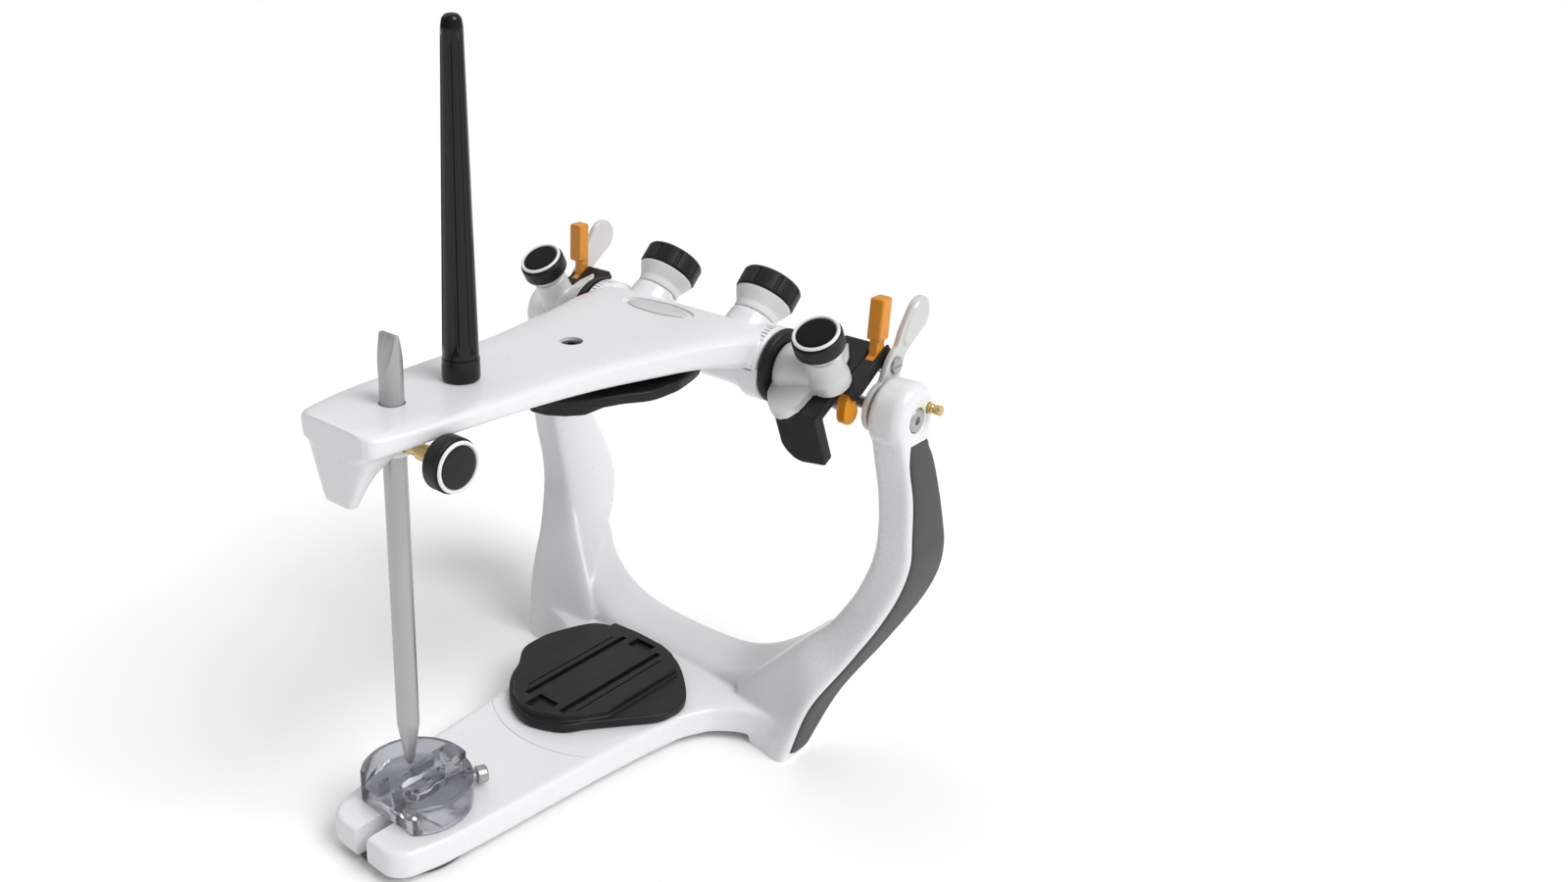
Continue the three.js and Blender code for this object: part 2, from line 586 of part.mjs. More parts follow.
// silver casting: hub on the inclination axis, leaf plate lying over the guide, boss for the screw
function clampBracket() {
  const low = ROOF_TOP + GAP;
  const hubProfile = [[0, 42.4], [8.4, 42.4], [8.9, 43], [8.9, 45.6], [6.6, 51], [5.4, 57], [0, 57]];
  const hub = cut(turnedX(hubProfile, 0, BARREL_Y, BARREL_Z, 20), guideBox(45.6, 80, -30, 30, -20, low));
  const leaf = [[42.6, 8.5], [42.6, -9], [43.6, -12.6], [46.8, -17], [50.4, -19.2], [53.6, -18.4],
    [55.6, -14.5], [56.4, -6], [62, -4.6], [64, 0], [62, 5], [54, 9]];
  const plate = slab(leaf, 3.0, 0.4);
  plate.translate(0, 0, low);
  const bossProfile = [[0, low], [6.6, low], [6.6, 2.4], [6.1, 4.6], [5.9, 12.0], [0, 12.0]];
  const boss = guideTurned(bossProfile, BENNETT_X, 16);
  const pointer = slab([[51.5, 5], [60.5, 5], [58.6, 11.5], [55.4, 16.4], [53.4, 12.5]], 1.6, 0.2);
  pointer.translate(0, 0, low);
  const body = join(hub, solid(inGuideFrame(plate)), boss, solid(inGuideFrame(pointer)));
  return cut(body, guideTurned([[0, -9], [1.7 + GAP, -9], [1.7 + GAP, 20], [0, 20]], BENNETT_X, 20));
}

function bennettKnob() {
  const shank = [[0, -5], [1.7, -5], [1.7, 12.3], [5.9, 12.3], [5.9, 14.2], [0, 14.2]];
  addPair('bennett_knob_shank', guideTurned(shank, BENNETT_X, 20), WHITE);
  const knob = [[0, 14.5], [7.3, 14.5], [8.0, 15.2], [8.0, 19.8], [7.2, 20.2], [0, 20.2]];
  addPair('bennett_knob', guideTurned(knob, BENNETT_X, 20), BLACK);
  const ring = [[0, 20.5], [7.4, 20.5], [7.3, 21.2], [6.9, 21.5], [6.5, 21.2], [0, 21.2]];
  addPair('bennett_knob_cap', guideTurned(ring, BENNETT_X, 20), WHITE);
}

function centricLock() {
  const x0 = GUIDE_OUT + GAP;
  const rocker = [[23.0, -9.0], [22.4, -12], [24.6, -17.2], [24.2, -20.4], [21.4, -20.6], [20.6, -17.6],
    [18.0, -11.6], [15.6, -6.2], [14.0, -5.2], [4.0, -5.2], [1.4, -8.0], [-2.4, -14.2], [-5.6, -12.6],
    [-6.2, -9.6], [-4.4, -6.0], [0, -2.6], [20.6, -2.6], [22.6, -5.2]];
  const body = sidePlate(rocker, x0, x0 + 3.1, 0.5);
  const bulb = sidePlate(disc(-2.4, -10.9, 3.7), x0, x0 + 3.3, 0.8);
  const tab = box(x0, x0 + 4.4, 142.6, 147.2, 149.2, 163.2);
  const stem = box(x0, x0 + 3.1, 143.5, 147.7, 141.6, 151);
  const joined = join(body, bulb, tab, stem);
  return cut(joined, sidePlate(disc(LOCK_U, LOCK_W, 1.2 + GAP, 16), 55, 70, 0));
}

// thin black shell over the rocker: outer wall and the strip that closes it at the top
function lockCover() {
  const x0 = GUIDE_OUT + 3.7;
  const outline = [[-2, -1.75], [13.2, -1.75], [14, -2.2], [21.6, -2.2], [22.8, -8.4], [20.4, -11.8],
    [17.4, -11], [15.2, -6.8], [4, -7.6], [-0.6, -6.6]];
  const wall = sidePlate(outline, x0, x0 + 0.6, 0);
  const strip = guideBox(GUIDE_OUT + GAP, x0 + 0.3, -2, 13.2, -2.25, -1.75);
  return cut(join(wall, strip), sidePlate(disc(LOCK_U, LOCK_W, 1.2 + GAP, 16), 55, 75, 0));
}

function condylarPieces() {
  const shaft = [[0, 0.5], [SHAFT_R, 0.5], [SHAFT_R, 39.0], [0, 39.0]];
  addPair('inclination_shaft', turnedX(shaft, 0, BARREL_Y, BARREL_Z, 16), BLACK);
  const collar = [[0, 39.3], [12.2, 39.3], [12.4, 40], [12.4, 41.5], [11.8, 42.1], [0, 42.1]];
  addPair('inclination_collar', turnedX(collar, 0, BARREL_Y, BARREL_Z, 20), BLACK);
  addPair('clamp_bracket', clampBracket(), SATIN);
  bennettKnob();
  addPair('condylar_guide', condylarGuide(), BLACK);
  addPair('centric_lock', centricLock(), AMBER);
  addPair('lock_cover', lockCover(), BLACK);
  const pivot = sidePlate(disc(LOCK_U, LOCK_W, 1.2, 16), GUIDE_OUT - 1.8, GUIDE_OUT + 4.4, 0);
  addPair('lock_pivot', pivot, STEEL);
}

// ---------------------------------------------------------------- latch levers on the condyle pins
function latchLever() {
  const x0 = 67.5;
  const path = [[0, 0, 8.2], [3, 4.4, 5.0], [6.9, 12.5, 4.7], [9.6, 16.6, 3.4], [13.4, 21.6, 4.8]];
  path.push([18.4, 26.6, 6.2]);
  const pieces = [];
  for (let i = 0; i < path.length; i += 1) {
    pieces.push(leverDisc(path[i], x0, x0 + 2));
  }
  for (let i = 1; i < path.length; i += 1) {
    pieces.push(leverWeb(path[i - 1], path[i], x0, x0 + 2));
  }
  const body = join(...pieces);
  const hole = rodX(CONDYLE_PIN_R + GAP, 60, 80, CONDYLE_Y, CONDYLE_Z, 16);
  return cut(body, hole, rodX(1.8, 60, 80, CONDYLE_Y + 6.9, CONDYLE_Z + 12.5, 12));
}

function leverDisc([y, z, r], x0, x1) {
  return rodX(r, x0, x1, CONDYLE_Y + y, CONDYLE_Z + z, 14);
}

// straight-sided web between two discs of the lever
function leverWeb([ya, za, ra], [yb, zb, rb], x0, x1) {
  const length = Math.hypot(yb - ya, zb - za);
  const tilt = Math.atan2(zb - za, yb - ya);
  const lean = Math.acos((ra - rb) / length);
  const corner = (y, z, r, turn) => [y + r * Math.cos(tilt + turn), z + r * Math.sin(tilt + turn)];
  const outline = [corner(ya, za, ra, -lean), corner(yb, zb, rb, -lean), corner(yb, zb, rb, lean),
    corner(ya, za, ra, lean)];
  const geometry = slab(outline, x1 - x0, 0);
  geometry.rotateX(Math.PI / 2);
  geometry.rotateZ(Math.PI / 2);
  geometry.translate(x0, CONDYLE_Y, CONDYLE_Z);
  return solid(geometry);
}

function leverPieces() {
  addPair('latch_lever', latchLever(), SATIN);
  const rivet = [[0, 67.5], [1.5, 67.5], [1.5, 69.8], [2.9, 69.8], [2.9, 70.2], [2.3, 70.45], [0, 70.45]];
  const y = CONDYLE_Y + 6.9;
  const z = CONDYLE_Z + 12.5;
  const slot = box(70.1, 72, y - 4, y + 4, z - 0.4, z + 0.4);
  addPair('lever_screw', cut(turnedX(rivet, 0, y, z, 16), slot), STEEL);
}

// ---------------------------------------------------------------- incisal guide table
function incisalTable() {
  const z0 = BASE_TOP + GAP;
  const outline = [];
  const radius = 18;
  const centre = 2.5;
  for (let i = 0; i <= 26; i += 1) {
    const t = THREE.MathUtils.degToRad(-46 + (272 * i) / 26);
    outline.push([radius * Math.cos(t), centre + radius * Math.sin(t)]);
  }
  const geometry = slab(outline, 25.2 - z0, 0.5);
  geometry.translate(0, 0, z0);
  let body = solid(geometry);
  body = cut(body, cutHalf(rodZ(16.4, 19.4, 40, 0, centre, 20), -30, -3.6));
  body = cut(body, cutHalf(rodZ(30, 22.4, 40, 0, centre, 12), 3.6, 30));
  body = cut(body, cutHalf(rodZ(15.6, 20.6, 40, 0, centre, 20), 3.6, 30));
  body = cut(body, cutHalf(rodZ(9.6, 19.2, 40, 0, centre, 16), -30, 30));
  body = join(body, rodZ(5.2, 16, 21.6, 0, centre, 20), box(-4, 4, centre, centre + 15, 16, 23.8));
  body = cut(body, box(-2.4, 2.4, -20, centre + 9, 18.6, 40));
  body = cut(body, rodZ(BOLT_R + GAP, 10, 17.2, 0, 0, 20));
  return cut(body, tableScrewAlong([[0, -9], [1.3 + GAP, -9], [1.3 + GAP, 3], [0, 3]]));
}

function cutHalf(body, x0, x1) {
  return body.intersect(box(x0, x1, -40, 60, 0, 60));
}

function tableScrewAlong(profile) {
  const geometry = turned(profile, 20);
  geometry.rotateZ(-Math.PI / 2);
  geometry.rotateZ(THREE.MathUtils.degToRad(66));
  geometry.translate(7.4, 19.4, 17.4);
  return solid(geometry);
}

function tablePieces() {
  add('incisal_table', incisalTable(), SMOKE);
  const nut = [[0, 0], [17.6, 0], [18.4, 0.5], [18.4, 2.3], [18.0, 2.7], [0, 2.7]];
  const nutBore = rodZ(BOLT_R + GAP, 1.0, 10, 0, 0, 20);
  add('table_clamp_nut', cut(turnedZ(nut, 0, 0, 0, 20), nutBore), RUBBER);
  add('table_clamp_bolt', rodZ(BOLT_R, 1.3, 16.9, 0, 0, 16), STEEL);
  const knob = [[0, -8.6], [1.3, -8.6], [1.3, 1.2], [2.7, 1.2], [2.9, 1.6], [2.9, 4.4], [2.4, 4.9]];
  knob.push([0, 4.9]);
  add('table_screw', tableScrewAlong(knob), STEEL);
}

lowerPieces();
plates();
leverPieces();
add('upper_frame', upperFrame(), WHITE, FINE_CAST);
add('support_post', supportPost(), BLACK_GLOSS);
add('incisal_pin', incisalPin(), STEEL);
pinScrew();
rearKnobs();
condylarPieces();
tablePieces();

export default group;
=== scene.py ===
import json
import math

import bpy
from mathutils import Matrix, Vector

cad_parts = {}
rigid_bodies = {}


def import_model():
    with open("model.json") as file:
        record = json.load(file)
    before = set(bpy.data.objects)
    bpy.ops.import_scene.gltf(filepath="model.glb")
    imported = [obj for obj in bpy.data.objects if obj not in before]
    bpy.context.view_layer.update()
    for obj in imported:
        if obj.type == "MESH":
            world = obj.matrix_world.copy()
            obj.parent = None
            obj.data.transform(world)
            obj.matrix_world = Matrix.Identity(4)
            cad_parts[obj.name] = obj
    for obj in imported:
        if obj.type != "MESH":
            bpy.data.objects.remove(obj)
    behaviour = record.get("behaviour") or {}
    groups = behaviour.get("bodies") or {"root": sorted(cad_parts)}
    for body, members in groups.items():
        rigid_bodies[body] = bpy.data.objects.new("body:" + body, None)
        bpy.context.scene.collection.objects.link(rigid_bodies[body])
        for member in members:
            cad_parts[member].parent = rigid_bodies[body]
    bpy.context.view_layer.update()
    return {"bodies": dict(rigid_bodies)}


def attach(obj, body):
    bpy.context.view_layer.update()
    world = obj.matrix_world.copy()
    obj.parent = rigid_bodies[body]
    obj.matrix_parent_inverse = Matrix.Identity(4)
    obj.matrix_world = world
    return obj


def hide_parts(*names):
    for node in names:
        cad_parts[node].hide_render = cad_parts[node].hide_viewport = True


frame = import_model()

MM = 0.001
PIN_Y = -74.4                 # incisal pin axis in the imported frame
CLINE = math.radians(30)      # condylar inclination at rest
BARREL = (128.6, 138.2)       # y, z of the inclination axis
CONDYLE = (142.5, 128.0)      # y, z of the condylar axis
BENNETT_X = 58.9
GUIDE_IN, GUIDE_OUT = 46.0, 62.3
ROOF_TOP, ROOF_BOTTOM = -1.7, -5.0
LOCK_U, LOCK_W = 19.2, -8.4
HEAD_INNER, HEAD_OUTER = 70.6, 82.6
SCREW_R, SCREW_AT = 4.0, (143.1, 127.0)     # socket screw in the head: radius, y and z
KNOB_X = 21.1
ARM_TOP = 150.9
PIN_R, PIN_TIP, PIN_TOP = 3.5, 28.9, 171.0
PIN_SCREW_Z = 139.7
POST_Y, POST_TOP = 25.9, 252.2
PLATE_Y, UPPER_PLATE_Y, PLATE_SCREW_Y = 87.5, 81.0, 72.2
BASE_BOTTOM, BASE_TOP = 3.0, 13.1
WORLD_DARK, WORLD_BRIGHT = 0.15, 0.62      # the studio's dim side and bright side
BRIGHT_SIDE = (0.72, 0.5, 0.48)            # direction of the bright side
KEY_STRENGTH, FILL_STRENGTH = 1.95, 0.55
WAIST, WAIST_FROM, WAIST_RISE = 2.4, 20.0, 11.5   # barrel: how much slimmer inboard, and where it widens
BARREL_R = 12.4
STUB_AT = (CONDYLE[0] + 7, CONDYLE[1] + 1.6)      # face-bow stub: y and z
SEAM_R, SEAM_SHARE = 39.0, 0.987                  # curved seam in the base: radius, inner over outer
TABLE_R, TABLE_Y = 18.0, 2.5                      # incisal table: radius, centre behind the pin
TABLE_FLOOR = BASE_TOP + 0.3
CAMERA_AZIMUTH, CAMERA_ELEVATION = math.radians(44.43), math.radians(24.63)
CAMERA_LENS, CAMERA_SHIFT = 31.43, (0.1514, 0.0184)
CAMERA_PLACE = (0.2775, -0.2963, 0.2921)
ALONG_X = Matrix(((0, 0, 1), (1, 0, 0), (0, 1, 0))).to_4x4()   # local z to +X, local x to +Y


# ---------------------------------------------------------------- shapes: (points, faces) in millimetres
def moved(shape, matrix):
    points, faces = shape
    return [matrix @ Vector(p) for p in points], faces


def shifted(shape, x=0.0, y=0.0, z=0.0):
    return moved(shape, Matrix.Translation((x, y, z)))


def mirrored(shape):
    points, faces = shape
    return [Vector((-p[0], p[1], p[2])) for p in points], [tuple(reversed(f)) for f in faces]


def joined(*shapes):
    points, faces = [], []
    for shape_points, shape_faces in shapes:
        start = len(points)
        points.extend(shape_points)
        faces.extend(tuple(i + start for i in f) for f in shape_faces)
    return points, faces


def rounded(outline, radius, steps=4, closed=True):
    """The outline with each corner turned into a small curve."""
    result = []
    count = len(outline)
    for i, point in enumerate(outline):
        if not closed and i in (0, count - 1):
            result.append(tuple(point))
            continue
        here = Vector(point)
        before = Vector(outline[i - 1]) - here
        after = Vector(outline[(i + 1) % count]) - here
        reach = min(radius, 0.45 * before.length, 0.45 * after.length)
        start = here + before.normalized() * reach
        end = here + after.normalized() * reach
        for k in range(steps + 1):
            t = k / steps
            spot = start * (1 - t) ** 2 + here * 2 * t * (1 - t) + end * t ** 2
            result.append(tuple(spot))
    return result


def circle(radius, cx=0.0, cy=0.0, count=64):
    turn = 2 * math.pi / count
    return [(cx + radius * math.cos(i * turn), cy + radius * math.sin(i * turn)) for i in range(count)]


def neighbours(points, k, closed):
    """The four points round span k of a curve."""
    count = len(points)
    if closed:
        return [Vector(points[(k + j) % count]) for j in (-1, 0, 1, 2)]
    return [Vector(points[max(0, min(count - 1, k + j))]) for j in (-1, 0, 1, 2)]


def spline(points, count, closed=True):
    """A Catmull-Rom curve through the points, of any dimension."""
    spans = len(points) if closed else len(points) - 1
    total = count if closed else count - 1
    result = []
    for i in range(count):
        place = i / total * spans
        k = min(int(place), spans - 1)
        t = place - k
        a, b, c, d = neighbours(points, k, closed)
        result.append(0.5 * (2 * b + (c - a) * t + (2 * a - 5 * b + 4 * c - d) * t ** 2
                             + (3 * b - a - 3 * c + d) * t ** 3))
    return result


def rings_to_shape(rings, closed_ends=True):
    """Skin over a stack of equal rings of points."""
    count = len(rings[0])
    points = [Vector(p) for ring in rings for p in ring]
    faces = []
    for r in range(len(rings) - 1):
        low, high = r * count, (r + 1) * count
        for i in range(count):
            j = (i + 1) % count
            faces.append((low + i, low + j, high + j, high + i))
    if closed_ends:
        faces.append(tuple(reversed(range(count))))
        faces.append(tuple(range(len(points) - count, len(points))))
    return points, faces


def prism(outline, z0, z1, edge=0.0, steps=3):
    """An outline pushed along z; edge rounds the two rims by drawing them in towards the middle."""
    flat = [Vector((p[0], p[1])) for p in outline]
    inward = inward_directions(flat)
    levels = [(0.0, z0), (0.0, z1)]
    if edge > 0:
        angles = [math.pi / 2 * k / steps for k in range(steps + 1)]
        bottom = [(edge * (1 - math.sin(a)), z0 + edge * (1 - math.cos(a))) for a in angles]
        top = [(edge * (1 - math.sin(a)), z1 - edge * (1 - math.cos(a))) for a in reversed(angles)]
        levels = bottom + top
    rings = [[(p.x + d.x * inset, p.y + d.y * inset, z) for p, d in zip(flat, inward)]
             for inset, z in levels]
    return rings_to_shape(rings)


def inward_directions(flat):
    """For each point of an anticlockwise outline, the direction that draws it in, mitred."""
    result = []
    count = len(flat)
    for i, point in enumerate(flat):
        before = (point - flat[i - 1]).normalized()
        after = (flat[(i + 1) % count] - point).normalized()
        a = Vector((-before.y, before.x))
        b = Vector((-after.y, after.x))
        middle = a + b
        if middle.length < 1e-6:
            result.append(a)
            continue
        middle.normalize()
        result.append(middle / max(0.5, middle.dot(a)))
    return result


def lathe(profile, edge=0.25, sides=72, ripple=None):
    """A turned piece about z from (radius, height) pairs; ripple(angle, height) scales the radius."""
    curve = rounded(profile, edge, 3, closed=False)
    rings = []
    for radius, height in curve:
        radius = max(radius, 0.02)
        ring = []
        for i in range(sides):
            angle = 2 * math.pi * i / sides
            r = radius * (ripple(angle, height) if ripple else 1.0)
            ring.append((r * math.cos(angle), r * math.sin(angle), height))
        rings.append(ring)
    return rings_to_shape(rings)


def block(x0, x1, y0, y1, z0, z1, edge=0.0):
    return prism([(x0, y0), (x1, y0), (x1, y1), (x0, y1)], z0, z1, edge)


def ball(radius, steps=32):
    profile = [(radius * math.sin(math.pi * k / steps), -radius * math.cos(math.pi * k / steps))
               for k in range(steps + 1)]
    return lathe(profile, edge=0.0001, sides=64)


def aimed(shape, origin, direction):
    """Turns local z to the direction and moves the shape to the origin."""
    turn = Vector((0, 0, 1)).rotation_difference(Vector(direction)).to_matrix().to_4x4()
    return moved(shape, Matrix.Translation(origin) @ turn)


def rod_x(radius, x0, x1, y, z, edge=0.0, sides=64):
    return aimed(lathe([(0, x0), (radius, x0), (radius, x1), (0, x1)], edge, sides), (0, y, z), (1, 0, 0))


def rod_z(radius, z0, z1, x, y, edge=0.0, sides=64):
    return shifted(lathe([(0, z0), (radius, z0), (radius, z1), (0, z1)], edge, sides), x, y)


def power(value, n):
    return math.copysign(abs(value) ** (2 / n), value)


def loft(stations, around=64, along=120):
    """Rounded sections drawn through stations of centre, two directions, two half widths, squareness."""
    rows = [list(s["at"]) + list(s["u"]) + list(s["v"]) + [s["a"], s["b"], s["n"]] for s in stations]
    rings = []
    for row in spline(rows, along, closed=False):
        centre = Vector(row[0:3])
        u, v = Vector(row[3:6]).normalized(), Vector(row[6:9]).normalized()
        a, b, n = row[9], row[10], row[11]
        ring = []
        for i in range(around):
            angle = 2 * math.pi * i / around
            ring.append(centre + u * a * power(math.cos(angle), n) + v * b * power(math.sin(angle), n))
        rings.append(ring)
    return outward(rings_to_shape(rings))


def outward(shape):
    """The shape with its faces turned outwards."""
    points, faces = shape
    volume = 0.0
    for face in faces:
        first = Vector(points[face[0]])
        for i in range(1, len(face) - 1):
            volume += first.dot(Vector(points[face[i]]).cross(Vector(points[face[i + 1]])))
    return shape if volume > 0 else (points, [tuple(reversed(f)) for f in faces])


# ---------------------------------------------------------------- objects
def make(name, shape):
    points, faces = outward(shape)
    mesh = bpy.data.meshes.new(name)
    mesh.from_pydata([(p[0] * MM, (p[1] + PIN_Y) * MM, p[2] * MM) for p in points], [], faces)
    mesh.validate()
    obj = bpy.data.objects.new(name, mesh)
    bpy.context.scene.collection.objects.link(obj)
    return obj


def settle(obj):
    """Applies the object's modifiers."""
    bpy.context.view_layer.update()
    graph = bpy.context.evaluated_depsgraph_get()
    mesh = bpy.data.meshes.new_from_object(obj.evaluated_get(graph))
    old = obj.data
    obj.modifiers.clear()
    obj.data = mesh
    bpy.data.meshes.remove(old)
    return obj


def fused(name, shapes, voxel, smooth):
    """One cast or moulded body: overlapping shapes melted together, edges eased by smoothing."""
    obj = make(name, joined(*[outward(s) for s in shapes]))
    remesh = obj.modifiers.new("remesh", "REMESH")
    remesh.mode = "VOXEL"
    remesh.voxel_size = voxel * MM * 1.0
    settle(obj)
    if smooth:
        ease = obj.modifiers.new("ease", "SMOOTH")
        ease.factor = 0.5
        ease.iterations = max(1, int(smooth * (1.0)))
        settle(obj)
    return obj


def welded(obj, other):
    """Adds the other object to this one as one solid."""
    weld = obj.modifiers.new("add", "BOOLEAN")
    weld.operation = "UNION"
    weld.solver = "MANIFOLD"
    weld.object = other
    settle(obj)
    bpy.data.objects.remove(other)
    return obj


def carved(obj, *tools):
    """Cuts each tool shape out of the object."""
    for tool in tools:
        cutter = make("cutter", tool)
        cut = obj.modifiers.new("cut", "BOOLEAN")
        cut.operation = "DIFFERENCE"
        cut.solver = "MANIFOLD"
        cut.object = cutter
        settle(obj)
        bpy.data.objects.remove(cutter)
    return obj


def left_copy(obj, name):
    """The object's mirror image on the other side."""
    mesh = obj.data.copy()
    mesh.transform(Matrix.Scale(-1, 4, (1, 0, 0)))
    mesh.flip_normals()
    copy = bpy.data.objects.new(name, mesh)
    bpy.context.scene.collection.objects.link(copy)
    return copy


def dress(obj, body, slot, material, *nodes, crease=32):
    """Gives a piece its material and smooth shading, puts it on its body and hides the nodes it stands for;
    slot is not used.
    """
    obj.data.materials.clear()
    obj.data.materials.append(material)
    obj.data.shade_smooth()
    obj.data.set_sharp_from_angle(angle=math.radians(crease))
    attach(obj, body)
    if nodes:
        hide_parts(*nodes)
    return obj


def dress_pair(obj, stem, body, slot, material, node=None, crease=32):
    """The right-hand piece and its mirror image; body and node are stems that take _r and _l."""
    left = left_copy(obj, f"{stem}.l")
    obj.name = f"{stem}.r"
    for side, piece in (("r", obj), ("l", left)):
        sided = f"{body}_{side}"
        rides = sided if sided in frame["bodies"] else body
        nodes = [f"{node}_{side}"] if node else []
        dress(piece, rides, slot, material, *nodes, crease=crease)


# ---------------------------------------------------------------- materials
def node_of(tree, kind, **inputs):
    node = tree.nodes.new(kind)
    for key, value in inputs.items():
        node.inputs[key.replace("_", " ")].default_value = value
    return node


def finish_material(name, base, shade, roughness, spread, patch, grain, depth, stretch=(1, 1, 1),
                    highlight_colour=None, **sockets):
    """A procedural surface. base and shade are the two colours that cloudy patches run between,
    patch and grain are their sizes in millimetres, depth is the grain's height in millimetres,
    the edge colour is a lighter colour painted on convex edges as a highlight."""
    material = bpy.data.materials.new(name)
    material.use_nodes = True
    tree = material.node_tree
    shader = tree.nodes["Principled BSDF"]
    for key, value in sockets.items():
        shader.inputs[key.replace("_", " ")].default_value = value
    place = tree.nodes.new("ShaderNodeTexCoord")
    scaled = tree.nodes.new("ShaderNodeMapping")
    scaled.inputs["Scale"].default_value = stretch
    tree.links.new(place.outputs["Object"], scaled.inputs["Vector"])
    clouds = node_of(tree, "ShaderNodeTexNoise", Scale=1000.0 / patch, Detail=4.0, Roughness=0.55)
    fine = node_of(tree, "ShaderNodeTexNoise", Scale=1000.0 / grain, Detail=3.0, Roughness=0.6)
    tree.links.new(place.outputs["Object"], clouds.inputs["Vector"])
    tree.links.new(scaled.outputs["Vector"], fine.inputs["Vector"])
    blend = tree.nodes.new("ShaderNodeMix")
    blend.data_type = "RGBA"
    blend.inputs[6].default_value = (*shade, 1)
    blend.inputs[7].default_value = (*base, 1)
    tree.links.new(clouds.outputs["Fac"], blend.inputs[0])
    colour = blend.outputs[2]
    # painted highlight: convex edges are turned to the lighter edge colour
    if highlight_colour:
        colour = edge_highlight(tree, colour, highlight_colour)
    tree.links.new(colour, shader.inputs["Base Color"])
    vary_roughness(tree, shader, fine, clouds, roughness, spread)
    bump = node_of(tree, "ShaderNodeBump", Strength=1.0, Distance=depth * MM)
    tree.links.new(fine.outputs["Fac"], bump.inputs["Height"])
    tree.links.new(bump.outputs["Normal"], shader.inputs["Normal"])
    return material


def vary_roughness(tree, shader, fine, clouds, roughness, spread):
    """Lets the roughness wander, half with the grain and half with the patches."""
    rough = tree.nodes.new("ShaderNodeMapRange")
    rough.inputs["From Min"].default_value = 0.3
    rough.inputs["From Max"].default_value = 0.7
    rough.inputs["To Min"].default_value = roughness - spread
    rough.inputs["To Max"].default_value = roughness + spread
    mixed = tree.nodes.new("ShaderNodeMath")
    mixed.operation = "MULTIPLY_ADD"
    mixed.inputs[1].default_value = 0.5
    tree.links.new(fine.outputs["Fac"], mixed.inputs[0])
    halved = tree.nodes.new("ShaderNodeMath")
    halved.operation = "MULTIPLY"
    halved.inputs[1].default_value = 0.5
    tree.links.new(clouds.outputs["Fac"], halved.inputs[0])
    tree.links.new(halved.outputs[0], mixed.inputs[2])
    tree.links.new(mixed.outputs[0], rough.inputs["Value"])
    tree.links.new(rough.outputs["Result"], shader.inputs["Roughness"])


def edge_highlight(tree, colour, highlight_colour):
    """Turns convex edges, broken up by a noise, to a lighter colour: a painted highlight along the edges."""
    geometry = tree.nodes.new("ShaderNodeNewGeometry")
    edge = tree.nodes.new("ShaderNodeMapRange")
    edge.inputs["From Min"].default_value = 0.53
    edge.inputs["From Max"].default_value = 0.64
    tree.links.new(geometry.outputs["Pointiness"], edge.inputs["Value"])
    patchy = node_of(tree, "ShaderNodeTexNoise", Scale=220.0, Detail=2.0)
    amount = tree.nodes.new("ShaderNodeMath")
    amount.operation = "MULTIPLY"
    tree.links.new(edge.outputs["Result"], amount.inputs[0])
    tree.links.new(patchy.outputs["Fac"], amount.inputs[1])
    mix = tree.nodes.new("ShaderNodeMix")
    mix.data_type = "RGBA"
    # the lighter colour mixed in here is a painted highlight on the edges
    mix.inputs[7].default_value = (*highlight_colour, 1)
    tree.links.new(amount.outputs[0], mix.inputs[0])
    tree.links.new(colour, mix.inputs[6])
    return mix.outputs[2]


